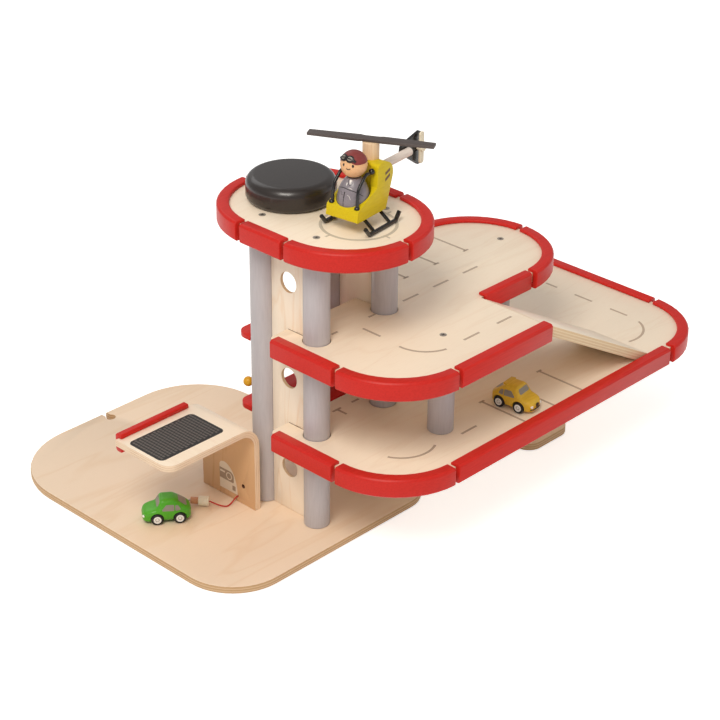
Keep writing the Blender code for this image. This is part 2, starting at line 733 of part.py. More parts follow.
def base(build):
    """Add the base plate, with the keyhole in its back edge."""
    corners = [
        (BASE_LEFT_X, BASE_FRONT_Y, BASE_FRONT_LEFT_R),
        (BASE_RIGHT_X, BASE_FRONT_Y, BASE_FRONT_RIGHT_R),
        (BASE_RIGHT_X, BASE_BACK_Y, BASE_BACK_RIGHT_R),
        (BASE_LEFT_X, BASE_BACK_Y, BASE_BACK_LEFT_R),
    ]
    outline = rounded(corners, RAIL_ARC_STEP)
    plate = build.piece(slab("base_plate", [outline], -BASE_PLY, BASE_PLY, BASE_EDGE_R), WOOD)
    eye_y = BASE_BACK_Y - KEYHOLE_DEPTH + KEYHOLE_R
    half = KEYHOLE_NECK / 2
    neck = [
        (KEYHOLE_X - half, eye_y), (KEYHOLE_X + half, eye_y),
        (KEYHOLE_X + half, BASE_BACK_Y + BASE_PLY), (KEYHOLE_X - half, BASE_BACK_Y + BASE_PLY),
    ]
    neck_outline = [Vector(corner) for corner in neck]
    build.cut(plate, slab("keyhole_neck", [neck_outline], -2 * BASE_PLY, 3 * BASE_PLY))
    build.cut(plate, peg("keyhole_eye", KEYHOLE_X, eye_y, -2 * BASE_PLY, BASE_PLY, KEYHOLE_R))


def ramp(build):
    """Add the ramp from the middle deck's open edge down to the lower deck."""
    top_x = MID_INNER_X + GAP
    foot_z = LEVEL_LOW + GAP
    slope = math.atan2(LEVEL_MID - foot_z, RAMP_FOOT_X - top_x)
    outline = [
        Vector((top_x, LEVEL_MID)),
        Vector((top_x, LEVEL_MID - RAMP_PLY / math.cos(slope))),
        Vector((RAMP_FOOT_X - RAMP_PLY / math.sin(slope), foot_z)),
        Vector((RAMP_FOOT_X, foot_z)),
    ]
    build.piece(upright("ramp", [outline], RAMP_FRONT_Y + RAMP_WIDTH / 2, RAMP_WIDTH), WOOD)


def canopy(build):
    """Add the bent canopy and the red rail on its back edge."""
    inner_x = CANOPY_RIGHT_X - CANOPY_PLY
    under = CANOPY_HEIGHT - CANOPY_PLY
    corners = [
        (CANOPY_RIGHT_X, GAP, 0.0),
        (CANOPY_RIGHT_X, CANOPY_HEIGHT, CANOPY_BEND_R),
        (CANOPY_LEFT_X, CANOPY_HEIGHT, 0.0),
        (CANOPY_LEFT_X, under, 0.0),
        (inner_x, under, CANOPY_BEND_R - CANOPY_PLY),
        (inner_x, GAP, 0.0),
    ]
    outline = rounded(corners)
    back_y = CANOPY_FRONT_Y + CANOPY_DEPTH
    shell = upright("canopy_shell", [outline], (CANOPY_FRONT_Y + back_y) / 2, CANOPY_DEPTH)
    build.piece(shell, WOOD)
    spare = CANOPY_PLY
    plan = [
        (CANOPY_LEFT_X, CANOPY_FRONT_Y, CANOPY_CORNER_R),
        (CANOPY_RIGHT_X + spare, CANOPY_FRONT_Y, 0.0),
        (CANOPY_RIGHT_X + spare, back_y, 0.0),
        (CANOPY_LEFT_X, back_y, 0.0),
    ]
    trim = slab("canopy_plan", [rounded(plan)], -spare, CANOPY_HEIGHT + 2 * spare)
    build.cut(shell, trim, "INTERSECT")
    wall_x = (CANOPY_RIGHT_X + inner_x) / 2
    holes = (("cord_hole", CORD_HOLE_Y, CORD_HOLE_Z, CORD_HOLE_R),
             ("peg_hole", PEG_HOLE_Y, PEG_HOLE_Z, PEG_HOLE_R))
    for name, y, z, radius in holes:
        drill = peg(name, 0.0, 0.0, 0.0, 2 * CANOPY_PLY, radius)
        drill.rotation_euler = (0.0, math.pi / 2, 0.0)
        drill.location = (wall_x - CANOPY_PLY, y, z)
        build.cut(shell, drill)
    length = CANOPY_RIGHT_X - CANOPY_BEND_R - CANOPY_LEFT_X - 2 * CANOPY_RAIL_INSET
    start = (CANOPY_LEFT_X + CANOPY_RAIL_INSET, back_y)
    rail(build, "canopy_rail", lambda body: straight_rail(
        body, start, length, 0.0, FACING_BACK, CANOPY_HEIGHT, CANOPY_RAIL))


def charging_plug(build):
    """Add the plug and the cord that comes out of the canopy's wall."""
    carrier = build.empty("plug_axis", (PLUG_X, PLUG_Y, PLUG_R + GAP), PLUG_HEADING, build.origin)
    nose_end = PLUG_LENGTH + PLUG_NOSE_LENGTH
    profile = [
        (0.0, 0.0), (PLUG_R, 0.0), (PLUG_R, PLUG_LENGTH),
        (PLUG_NOSE_R, PLUG_LENGTH), (PLUG_NOSE_R, nose_end), (PLUG_TIP_R, nose_end),
        (PLUG_TIP_R, nose_end + PLUG_TIP_LENGTH), (0.0, nose_end + PLUG_TIP_LENGTH),
    ]
    plug = turned("charge_plug", profile, SMALL_SIDES)
    plug.rotation_euler = (0.0, math.pi / 2, 0.0)
    build.piece(plug, CREAM, parent=carrier)
    inner_x = CANOPY_RIGHT_X - CANOPY_PLY
    floor = CHARGE_CORD_R + GAP
    back_off = Vector((math.cos(PLUG_HEADING), math.sin(PLUG_HEADING), 0.0)) * GAP
    route = [
        (inner_x + CANOPY_PLY / 2, CORD_HOLE_Y, CORD_HOLE_Z),
        (inner_x - 1.5 * MM, CORD_HOLE_Y + 0.4 * MM, CORD_HOLE_Z - 0.5 * MM),
        (-36.5 * MM, 92.0 * MM, 3.0 * MM),
        (-42.0 * MM, 91.2 * MM, floor),
        (-47.6 * MM, 91.0 * MM, floor),
        (-51.2 * MM, 95.4 * MM, floor + 0.4 * MM),
        (-54.6 * MM, 100.9 * MM, 3.0 * MM),
        Vector((PLUG_X, PLUG_Y, PLUG_R + GAP)) - back_off,
    ]
    cord = tube("charge_cord", smooth_route(route, 2.4 * MM), CHARGE_CORD_R)
    build.piece(cord, (0.55, 0.03, 0.03))


def lift_outline():
    """Return the outline of the lift's floor and roof, before the column notches."""
    side = PANEL_PLY / 2 + LIFT_SIDE_GAP
    front = DECK_BACK_Y + LIFT_FRONT_GAP
    shoulder = COLUMN_PITCH_Y - DOWEL_R + LIFT_CLEARANCE
    corners = [
        (side, front, 0.0),
        (COLUMN_PITCH_X - side, front, 0.0),
        (COLUMN_PITCH_X - side, shoulder, 0.0),
        (COLUMN_PITCH_X + LIFT_EAR, shoulder, 0.0),
        (COLUMN_PITCH_X + LIFT_EAR, LIFT_BACK_Y, LIFT_CORNER_R),
        (-LIFT_EAR, LIFT_BACK_Y, LIFT_CORNER_R),
        (-LIFT_EAR, shoulder, 0.0),
        (side, shoulder, 0.0),
    ]
    return rounded(corners)


def lift(build):
    """Add the lift car: two notched plates, two posts and a knob."""
    carrier = build.empty("lift_axis", (TOWER_X, COLUMN_PITCH_Y, LEVEL_LOW), 0.0, build.origin)
    shift = Vector((TOWER_X, COLUMN_PITCH_Y, LEVEL_LOW))
    for name, top in (("lift_floor", 0.0), ("lift_roof", LIFT_HEIGHT)):
        plate = slab(name, [lift_outline()], LEVEL_LOW + top - LIFT_PLY, LIFT_PLY)
        plate.location -= shift
        build.piece(plate, RED, 0.4, parent=carrier)
        for side in ("rear_left", "rear_right"):
            radius = DOWEL_R + LIFT_CLEARANCE
            low, high = LEVEL_LOW + top - 2 * LIFT_PLY, LEVEL_LOW + top + LIFT_PLY
            notch = peg(name + side, *COLUMN_PLACES[side], low, high, radius, DOWEL_SIDES)
            notch.location -= shift
            build.cut(plate, notch)
    floor = build.parts.objects["lift_floor"]
    top = LIFT_HEIGHT - LIFT_PLY - GAP
    for name, x in (("lift_post_left", LIFT_POST_X), ("lift_post_right", COLUMN_PITCH_X - LIFT_POST_X)):
        post = peg(name, x - TOWER_X, LIFT_POST_Y - COLUMN_PITCH_Y, -LIFT_PLY / 2, top, LIFT_POST_R)
        build.cut(floor, post, "UNION")
    rim = [(KNOB_R * math.sin(turn), -KNOB_R * math.cos(turn)) for turn in half_turn(10)]
    start = math.acos(KNOB_STEM_R / KNOB_R)
    ball = [point for point, turn in zip(rim, half_turn(10)) if turn > math.pi / 2 - start]
    stem = KNOB_REACH - LIFT_POST_R - GAP
    profile = [(0.0, -stem), (KNOB_STEM_R, -stem), *ball]
    knob = turned("lift_knob", profile)
    knob.rotation_euler = (0.0, math.pi / 2, KNOB_HEADING)
    reach = Vector((math.cos(KNOB_HEADING), math.sin(KNOB_HEADING), 0.0)) * KNOB_REACH
    knob.location = Vector((LIFT_POST_X, LIFT_POST_Y, LEVEL_LOW + KNOB_RISE)) + reach - shift
    build.piece(knob, (0.75, 0.5, 0.05), 0.4, parent=carrier)


def half_turn(steps):
    """Return the angles of a half circle from pole to pole."""
    return [math.pi * step / steps for step in range(steps + 1)]


def quarter_round(x, z, radius, first, steps=3):
    """Return (radius, height) points of a quarter circle for a turned edge."""
    turns = [first + math.pi / 2 * step / steps for step in range(steps + 1)]
    return [(x + radius * math.cos(turn), z + radius * math.sin(turn)) for turn in turns]


def winding_wheel(build):
    """Add the wheel on the top deck, its spindle and drum, and the cord to the lift."""
    carrier = build.empty("wheel_axis", (WHEEL_X, WHEEL_Y, LEVEL_TOP), 0.0, build.origin)
    bore = SPINDLE_R + GAP
    bottom = WHEEL_LIFT
    top = bottom + WHEEL_THICK
    profile = [(0.0, bottom + SPINDLE_INTO_WHEEL), (bore, bottom + SPINDLE_INTO_WHEEL), (bore, bottom)]
    foot = WHEEL_FOOT_ROUND
    profile += quarter_round(WHEEL_R - foot, bottom + foot, foot, -math.pi / 2)
    profile += quarter_round(WHEEL_R - WHEEL_TOP_ROUND, top - WHEEL_TOP_ROUND, WHEEL_TOP_ROUND, 0.0)
    profile.append((0.0, top))
    build.piece(turned("winding_wheel", profile, 40), BLACK, 0.5, parent=carrier)
    drum_top, drum_bottom = DRUM_TOP - LEVEL_TOP, DRUM_BOTTOM - LEVEL_TOP
    profile = [
        (0.0, drum_bottom), (FLANGE_R, drum_bottom),
        (FLANGE_R, drum_bottom + FLANGE_THICK), (DRUM_R, drum_bottom + FLANGE_THICK),
        (DRUM_R, drum_top), (SPINDLE_R, drum_top),
        (SPINDLE_R, bottom + SPINDLE_INTO_WHEEL - GAP), (0.0, bottom + SPINDLE_INTO_WHEEL - GAP),
    ]
    build.piece(turned("wheel_spindle", profile, SMALL_SIDES), WOOD, parent=carrier)
    lead_z = (DRUM_BOTTOM + FLANGE_THICK + DRUM_TOP) / 2
    bend = lead_z - EYE_Z
    quarter = [math.pi / 2 * step / 5 for step in range(6)]
    lead = [(EYE_X, WHEEL_Y, lead_z)]
    for turn in quarter:
        lead.append((EYE_X, EYE_Y + bend - bend * math.sin(turn), EYE_Z + bend * math.cos(turn)))
    build.piece(tube("cord_lead", lead, LIFT_CORD_R), CREAM)
    fall = EYE_Z - GAP - (LEVEL_LOW + LIFT_HEIGHT + GAP)
    cord = peg("lift_cord", EYE_X, EYE_Y, EYE_Z - GAP - fall, EYE_Z - GAP, LIFT_CORD_R, 10)
    build.piece(cord, CREAM)
    ring = [turn * 2 * math.pi / 14 for turn in range(13)]
    wire = []
    for turn in reversed(ring):
        wire.append((EYE_X + EYE_R * math.sin(turn), EYE_Y - EYE_R * math.cos(turn), EYE_Z))
    rise = EYE_DROP - GAP
    bend_out = 2 * EYE_WIRE_R
    stem = [
        (EYE_X, EYE_Y - EYE_R - bend_out, EYE_Z + bend_out),
        (EYE_X, EYE_Y - EYE_R - bend_out, EYE_Z + rise),
    ]
    build.piece(tube("cord_guide", wire + stem, EYE_WIRE_R), (0.7, 0.68, 0.64), 0.3, 1.0)


def car(build, name, colour, place, heading, level):
    """Add a toy car: its body and two sets of wheels."""
    carrier = build.empty(name + "_axis", (*place, level), heading, build.origin)
    corners = [
        (-CAR_TAIL * 0.96, CAR_FLOOR, CAR_HEIGHT * 0.06),
        (CAR_NOSE * 0.95, CAR_FLOOR, CAR_HEIGHT * 0.06),
        (CAR_NOSE, CAR_HEIGHT * 0.50, CAR_HEIGHT * 0.24),
        (CAR_NOSE * 0.44, CAR_HEIGHT * 0.66, CAR_HEIGHT * 0.14),
        (CAR_NOSE * 0.25, CAR_HEIGHT, CAR_HEIGHT * 0.14),
        (-CAR_TAIL * 0.24, CAR_HEIGHT, CAR_HEIGHT * 0.32),
        (-CAR_TAIL, CAR_HEIGHT * 0.52, CAR_HEIGHT * 0.25),
    ]
    body = upright(name + "_body", [rounded(corners)], 0.0, 2 * CAR_HALF_WIDTH)
    edge = body.modifiers.new("rounded_edges", "BEVEL")
    edge.width = 2.0 * MM
    edge.segments = 1
    edge.limit_method = "ANGLE"
    edge.angle_limit = math.radians(60.0)
    build.piece(body, colour, 0.35, parent=carrier)
    axle_z = CAR_WHEEL_R + GAP
    inner = CAR_TRACK_OUT - CAR_WHEEL_WIDTH
    chamfer = CAR_WHEEL_WIDTH / 6
    side = [
        (CAR_AXLE_R, inner), (CAR_WHEEL_R - chamfer, inner), (CAR_WHEEL_R, inner + chamfer),
        (CAR_WHEEL_R, CAR_TRACK_OUT - chamfer), (CAR_WHEEL_R - chamfer, CAR_TRACK_OUT), (0.0, CAR_TRACK_OUT),
    ]
    profile = [(radius, -reach) for radius, reach in reversed(side)] + side
    for end, x in (("front", CAR_HALF_BASE), ("rear", -CAR_HALF_BASE)):
        wheels = turned(f"{name}_{end}_wheels", profile)
        wheels.rotation_euler = (math.pi / 2, 0.0, 0.0)
        wheels.location = (x, 0.0, axle_z)
        build.piece(wheels, BLACK, 0.6, parent=carrier)
        well = inner - ARCH_CLEARANCE
        reach = CAR_TRACK_OUT + CAR_AXLE_R
        radius = CAR_WHEEL_R + ARCH_CLEARANCE
        bore = CAR_AXLE_R + AXLE_CLEARANCE
        profile_cut = [
            (0.0, -reach), (radius, -reach), (radius, -well), (bore, -well),
            (bore, well), (radius, well), (radius, reach), (0.0, reach),
        ]
        arch = turned(f"{name}_{end}_arch", profile_cut, 24)
        arch.rotation_euler = (math.pi / 2, 0.0, 0.0)
        arch.location = (x, 0.0, axle_z)
        build.cut(body, arch)


def helicopter_body(build, carrier):
    """Add the helicopter's body with its round seat."""
    corners = [
        (0.0, HELI_BELLY, 0.1 * HELI_TAIL_R),
        (HELI_NOSE_X, HELI_BELLY, 0.1 * HELI_TAIL_R),
        (0.96 * HELI_NOSE_X, HELI_NOSE_TOP, 0.1 * HELI_TAIL_R),
        (HELI_SEAT_FRONT_X, HELI_SEAT_TOP, 0.07 * HELI_TAIL_R),
        (0.88 * HELI_SEAT_FRONT_X, HELI_ROOF, 0.28 * HELI_TAIL_R),
        (HELI_TAIL_X, HELI_ROOF, HELI_TAIL_R),
    ]
    body = upright("helicopter_body", [rounded(corners)], 0.0, 2 * HELI_HALF_WIDTH)
    build.piece(body, (0.75, 0.58, 0.02), 0.35, parent=carrier)
    build.cut(body, peg("helicopter_seat", SEAT_X, 0.0, SEAT_FLOOR, 2 * HELI_ROOF, SEAT_R, DOWEL_SIDES))
    mast_seat = MAST_R + GAP
    build.cut(body, peg("mast_socket", 0.0, 0.0, HELI_ROOF - MAST_SUNK, 2 * HELI_ROOF, mast_seat))
    boom_bore = peg("boom_socket", 0.0, 0.0, 0.0, HELI_HALF_WIDTH * 2, BOOM_R + GAP)
    boom_bore.rotation_euler = (0.0, -math.pi / 2, 0.0)
    boom_bore.location = (BOOM_ROOT_X, 0.0, BOOM_Z)
    build.cut(body, boom_bore)


def helicopter_tail(build, carrier):
    """Add the tail boom, the fin beside its end and the tail rotor."""
    length = BOOM_ROOT_X - GAP - BOOM_END_X
    boom = turned("tail_boom", [(0.0, 0.0), (BOOM_R, 0.0), (BOOM_R, length), (0.0, length)])
    boom.rotation_euler = (0.0, -math.pi / 2, 0.0)
    boom.location = (BOOM_ROOT_X - GAP, 0.0, BOOM_Z)
    build.piece(boom, WOOD, parent=carrier)
    corners = []
    for back, rise in FIN_SHAPE:
        corners.append((BOOM_END_X - FIN_LENGTH * back, BOOM_Z + FIN_HEIGHT * rise, FIN_CORNER_R))
    pin_x, pin_z = BOOM_END_X - TAIL_PIN_BACK, BOOM_Z - TAIL_PIN_DROP
    bore = circle(pin_x, pin_z, TAIL_PIN_R + AXLE_CLEARANCE)
    fin_y = -(BOOM_R - FIN_SUNK + FIN_THICK / 2)
    fin = upright("tail_fin", [rounded(corners), bore], fin_y, FIN_THICK)
    build.cut(boom, fin, "UNION")
    half = TAIL_BLADE_WIDTH / 2
    blade = [(-half, -TAIL_BLADE), (half, -TAIL_BLADE), (half, TAIL_BLADE), (-half, TAIL_BLADE)]
    outline = rounded([(x, y, half * 0.9) for x, y in blade])
    near_y = fin_y + FIN_THICK / 2 + GAP
    blade_y = near_y + TAIL_HUB_LENGTH / 2
    rotor = upright("tail_rotor", [outline], blade_y, TAIL_BLADE_THICK)
    rotor.location += Vector((pin_x, 0.0, pin_z))
    build.piece(rotor, CREAM, parent=carrier)
    end_y = fin_y - FIN_THICK / 2 - TAIL_PIN_OUT
    for name, first, last, radius in (
        ("tail_hub", near_y + TAIL_HUB_LENGTH, near_y, TAIL_HUB_R),
        ("tail_pin", blade_y, end_y, TAIL_PIN_R),
    ):
        pin = peg(name, 0.0, 0.0, 0.0, first - last, radius)
        pin.rotation_euler = (math.pi / 2, 0.0, 0.0)
        pin.location = (pin_x, first, pin_z)
        build.cut(rotor, pin, "UNION")


def helicopter_rotor(build, carrier):
    """Add the mast and the two-bladed rotor that turns on it."""
    foot = HELI_ROOF - MAST_SUNK + GAP
    pin_bore = ROTOR_PIN_R + AXLE_CLEARANCE
    height = MAST_TOP - foot
    profile = [
        (0.0, 0.0), (MAST_R, 0.0), (MAST_R, height), (pin_bore, height),
        (pin_bore, height - 2 * MAST_R), (0.0, height - 2 * MAST_R),
    ]
    mast = turned("rotor_mast", profile, 24)
    mast.location.z = foot
    build.piece(mast, WOOD, parent=carrier)
    root, tip, chord = ROTOR_ROOT, ROTOR_HALF, ROTOR_CHORD / 2
    waist = chord * 0.8
    corners = [
        (-tip, -chord * 0.8, 0.5 * MM), (-root, -chord, 0.0), (-root * 0.6, -waist, 0.0),
        (root * 0.6, -waist, 0.0), (root, -chord, 0.0), (tip, -chord * 0.8, 0.5 * MM),
        (tip, chord * 0.8, 0.5 * MM), (root, chord, 0.0), (root * 0.6, waist, 0.0),
        (-root * 0.6, waist, 0.0), (-root, chord, 0.0), (-tip, chord * 0.8, 0.5 * MM),
    ]
    rotor = slab("main_rotor", [rounded(corners)], 0.0, ROTOR_THICK)
    rotor.location.z = MAST_TOP + GAP + ROTOR_THICK / 2
    rotor.rotation_euler.z = ROTOR_HEADING - HELI_HEADING
    build.piece(rotor, BLACK, 0.5, parent=carrier)
    bottom = MAST_TOP - 2 * MAST_R + GAP
    build.cut(rotor, peg("rotor_pin", 0.0, 0.0, bottom, MAST_TOP + ROTOR_THICK, ROTOR_PIN_R), "UNION")


def skids(build, carrier):
    """Add the skid frame: two runners with turned-up ends and two cross struts."""
    low = SKID_R + HELI_LIFT_GAP
    runner = [
        (SKID_FRONT_X + 0.8 * SKID_TURN_UP, 0.0, low + SKID_TURN_UP),
        (SKID_FRONT_X, 0.0, low),
        (SKID_BACK_X, 0.0, low),
        (SKID_BACK_X - 0.8 * SKID_TURN_UP, 0.0, low + SKID_TURN_UP),
    ]
    frame = None
    high = HELI_BELLY - GAP - SKID_STRUT_R
    lean = 0.7 * HELI_HALF_WIDTH
    for side, y in (("left", SKID_Y), ("right", -SKID_Y)):
        places = [(x, y, z) for x, _, z in runner]
        solid = mesh_object("skids_" + side, tube("runner", places, SKID_R))
        if frame is None:
            frame = build.piece(solid, BLACK, 0.35, parent=carrier)
            frame.name = "skids"
        else:
            build.cut(frame, solid, "UNION")
    for name, x in (("front", SKID_FRONT_X - SKID_STRUT_INSET), ("rear", SKID_BACK_X + SKID_STRUT_INSET)):
        places = [(x, SKID_Y, low), (x, lean, high), (x, -lean, high), (x, -SKID_Y, low)]
        strut = mesh_object("strut_" + name, tube("strut", places, SKID_STRUT_R))
        build.cut(frame, strut, "UNION")


def pilot(build, carrier):
    """Add the pilot, a turned body with a ball head, and the two bars glued to the helicopter."""
    foot, neck = SEAT_FLOOR + GAP, HEAD_Z - HEAD_R - GAP
    height = neck - foot
    shape = ((0.0, 0.90), (0.12, 0.97), (0.35, 1.0), (0.6, 0.9), (0.8, 0.74), (0.93, 0.56), (1.0, 0.41))
    profile = [(0.0, 0.0)] + [(PILOT_R * share, height * rise) for rise, share in shape] + [(0.0, height)]
    body = turned("pilot_body", profile, 24)
    body.location = (SEAT_X, 0.0, foot)
    build.piece(body, (0.3, 0.29, 0.31), 0.5, parent=carrier)
    profile = [(HEAD_R * math.sin(turn), -HEAD_R * math.cos(turn)) for turn in half_turn(10)]
    head = turned("pilot_head", profile)
    head.location = (SEAT_X, 0.0, HEAD_Z)
    build.piece(head, (0.85, 0.6, 0.38), 0.5, parent=carrier)
    ball_x = HELI_SEAT_FRONT_X + 0.6 * BAR_BALL_R
    swell = BAR_BALL_R / BAR_R
    arcs = [math.pi * step / 6 for step in range(1, 6)]
    shell = build.parts.objects["helicopter_body"]
    for side, y in (("left", BAR_Y), ("right", -BAR_Y)):
        stations = [(ball_x + BAR_BALL_R, y, BAR_BALL_Z)]
        for ahead, spread, rise in BAR_ROUTE:
            height = HELI_NOSE_TOP + (BAR_BALL_Z - HELI_NOSE_TOP) * rise
            stations.append((SEAT_X + SEAT_R * ahead, y * spread, height))
        route = smooth_route(stations, 5.0 * MM)
        ball = [(ball_x - BAR_BALL_R * math.cos(turn), y, BAR_BALL_Z) for turn in arcs]
        shares = [swell * math.sin(turn) for turn in arcs] + [1.0] * (len(route) - 1)
        bar = mesh_object("roll_bar_" + side, tube("bar", ball + route[1:], BAR_R, shares))
        build.cut(shell, bar, "UNION")


def helicopter(build):
    """Add the helicopter and its pilot."""
    carrier = build.empty("helicopter_axis", (HELI_X, HELI_Y, LEVEL_TOP), HELI_HEADING, build.origin)
    helicopter_body(build, carrier)
    helicopter_rotor(build, carrier)
    helicopter_tail(build, carrier)
    skids(build, carrier)
    pilot(build, carrier)


def main():
    """Build the garage."""
    build = Builder()
    base(build)
    tower(build)
    posts(build)
    decks(build)
    lower_rails(build)
    middle_rails(build)
    top_rails(build)
    ramp(build)
    canopy(build)
    charging_plug(build)
    lift(build)
    winding_wheel(build)
    green = (0.08, 0.33, 0.03)
    yellow = (0.62, 0.42, 0.03)
    car(build, "green_car", green, (GREEN_CAR_X, GREEN_CAR_Y), GREEN_CAR_HEADING, 0.0)
    car(build, "yellow_car", yellow, (YELLOW_CAR_X, YELLOW_CAR_Y), YELLOW_CAR_HEADING, LEVEL_LOW)
    helicopter(build)


main()
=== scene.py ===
"""Looks of the wooden toy garage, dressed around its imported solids.

Sizes are millimetres in the tower's frame, as in the part's source: the front left column
stands on its origin, X runs right along the decks, Y runs back, Z is height over the base.
"""
import logging
import math
from collections.abc import Sequence
from dataclasses import dataclass, field
from enum import Enum
from functools import cache, partial

import bmesh
import bpy
from mathutils import Matrix, Vector


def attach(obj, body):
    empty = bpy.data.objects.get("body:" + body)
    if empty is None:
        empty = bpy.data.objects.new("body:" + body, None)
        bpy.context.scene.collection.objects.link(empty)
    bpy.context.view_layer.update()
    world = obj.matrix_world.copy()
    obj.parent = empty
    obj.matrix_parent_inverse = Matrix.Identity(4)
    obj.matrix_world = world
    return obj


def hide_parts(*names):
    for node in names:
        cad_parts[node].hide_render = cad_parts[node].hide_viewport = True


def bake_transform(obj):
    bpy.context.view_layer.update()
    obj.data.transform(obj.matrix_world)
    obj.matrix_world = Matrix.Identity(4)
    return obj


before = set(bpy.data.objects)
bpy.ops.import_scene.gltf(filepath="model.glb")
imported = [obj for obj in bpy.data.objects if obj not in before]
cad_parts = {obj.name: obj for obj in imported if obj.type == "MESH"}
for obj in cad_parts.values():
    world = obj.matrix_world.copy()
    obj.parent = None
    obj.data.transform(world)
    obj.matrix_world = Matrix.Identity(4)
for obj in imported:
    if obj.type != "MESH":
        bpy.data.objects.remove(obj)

LOG = logging.getLogger("toy_garage")
MM = 0.001
TOWER_OFFSET = Vector((11.25, -150.35, 9.0))
LEVEL_LOW, LEVEL_MID, LEVEL_TOP = 108.8, 220.2, 335.8
PLY, BASE_PLY = 11.0, 9.0
PITCH_X, PITCH_Y = 100.7, 78.0
COLUMNS = {"front_left": (0.0, 0.0), "front_right": (PITCH_X, 0.0),
           "rear_left": (0.0, PITCH_Y), "rear_right": (PITCH_X, PITCH_Y)}
FRONT_POST, REAR_POST = (PITCH_X, -83.2), (321.0, 27.4)
GAP = 0.3
PLYWOOD = "birch_plywood"
UP = Vector((0.0, 0.0, 1.0))
ON_EDGE = Matrix.Rotation(math.pi / 2, 4, "X")
Point2 = tuple[float, float]


class Axis(Enum):
    """The axis along a wood's grain, or across its plies."""

    X = 0
    Y = 1
    Z = 2


class Body(Enum):
    """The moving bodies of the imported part."""

    GARAGE = "garage"
    LIFT = "lift"
    WHEEL = "winding_wheel"
    HELICOPTER = "helicopter"
    MAIN_ROTOR = "main_rotor"
    TAIL_ROTOR = "tail_rotor"


def at(x: float, y: float, z: float = 0.0) -> Vector:
    """Place a point of the tower's frame in the world.

    Args:
        x: Millimetres to the right.
        y: Millimetres to the back.
        z: Millimetres over the base's top.

    Returns:
        The point in metres.
    """
    return (Vector((x, y, z)) + TOWER_OFFSET) * MM


def stand(x: float, y: float, z: float, heading: float) -> Matrix:
    """Give the matrix of a toy that stands at a point and faces a heading.

    Args:
        x: Millimetres to the right.
        y: Millimetres to the back.
        z: Millimetres over the base's top.
        heading: Degrees anticlockwise from +X.

    Returns:
        The matrix from the toy's own millimetres to the world's metres.
    """
    turn = Matrix.Rotation(math.radians(heading), 4, "Z")
    return Matrix.Translation(at(x, y, z)) @ turn @ Matrix.Scale(MM, 4)


TOWER = stand(0.0, 0.0, 0.0, 0.0)


def linear(colour: str) -> tuple[float, float, float, float]:
    """Turn an sRGB hex colour into a linear one.

    Args:
        colour: Six hex digits.

    Returns:
        Red, green, blue and alpha.
    """
    parts = []
    for start in (0, 2, 4):
        value = int(colour[start:start + 2], 16) / 255
        parts.append(value / 12.92 if value <= 0.04045 else ((value + 0.055) / 1.055) ** 2.4)
    return (*parts, 1.0)


def feed(tree: bpy.types.NodeTree, node: bpy.types.Node, links: dict) -> None:
    """Set or link a node's inputs.

    Args:
        tree: The node's tree.
        node: The node.
        links: Input sockets, each with a value or the socket that feeds it.
    """
    for socket, source in links.items():
        if isinstance(source, bpy.types.NodeSocket):
            tree.links.new(source, node.inputs[socket])
        else:
            node.inputs[socket].default_value = source


def add(tree: bpy.types.NodeTree, kind: str, links: dict | None = None, **settings: object) -> bpy.types.Node:
    """Add a node with its settings and links.

    Args:
        tree: The tree that takes the node.
        kind: The node's type.
        links: Its inputs, as feed takes them.
        **settings: The node's own properties.

    Returns:
        The node.
    """
    node = tree.nodes.new(kind)
    for name, value in settings.items():
        setattr(node, name, value)
    feed(tree, node, links or {})
    return node


def calc(tree: bpy.types.NodeTree, operation: str, *values: object, kind: str = "ShaderNodeMath",
         output: int | str = 0) -> bpy.types.NodeSocket:
    """Work out one step of arithmetic.

    Args:
        tree: The tree.
        operation: The step's kind.
        *values: Its numbers or sockets.
        kind: The node's type.
        output: The output with the result.

    Returns:
        The result.
    """
    return add(tree, kind, dict(enumerate(values)), operation=operation).outputs[output]


def noise(tree: bpy.types.NodeTree, place: bpy.types.NodeSocket, scale: float, detail: float = 3.0,
          distortion: float = 0.0, stretch: Sequence[float] = ()) -> bpy.types.NodeSocket:
    """Read a noise texture.

    Args:
        tree: The material's tree.
        place: Where it is read.
        scale: Its scale.
        detail: Its detail.
        distortion: Its distortion.
        stretch: The scale along each axis, before the texture's own.

    Returns:
        The texture's value.
    """
    if stretch:
        place = add(tree, "ShaderNodeMapping", {"Vector": place, "Scale": stretch}).outputs["Vector"]
    texture = {"Vector": place, "Scale": scale, "Detail": detail, "Distortion": distortion}
    return add(tree, "ShaderNodeTexNoise", texture).outputs["Fac"]


def spread(tree: bpy.types.NodeTree, value: bpy.types.NodeSocket, low: float, high: float,
           first: float = 0.0, last: float = 1.0) -> bpy.types.NodeSocket:
    """Map a range onto another one.

    Args:
        tree: The tree.
        value: The value.
        low: What the range's start becomes.
        high: What its end becomes.
        first: The range's start.
        last: Its end.

    Returns:
        The mapped value.
    """
    limits = {"Value": value, "From Min": first, "From Max": last, "To Min": low, "To Max": high}
    return add(tree, "ShaderNodeMapRange", limits).outputs["Result"]


def blend(tree: bpy.types.NodeTree, share: bpy.types.NodeSocket, colour: bpy.types.NodeSocket,
          other: str) -> bpy.types.NodeSocket:
    """Mix a colour with another one.

    Args:
        tree: The material's tree.
        share: The other colour's share.
        colour: The colour.
        other: The other colour.

    Returns:
        The mixed colour.
    """
    return add(tree, "ShaderNodeMix", {"Factor": share, "A": colour, "B": linear(other)}, data_type="RGBA").outputs[2]


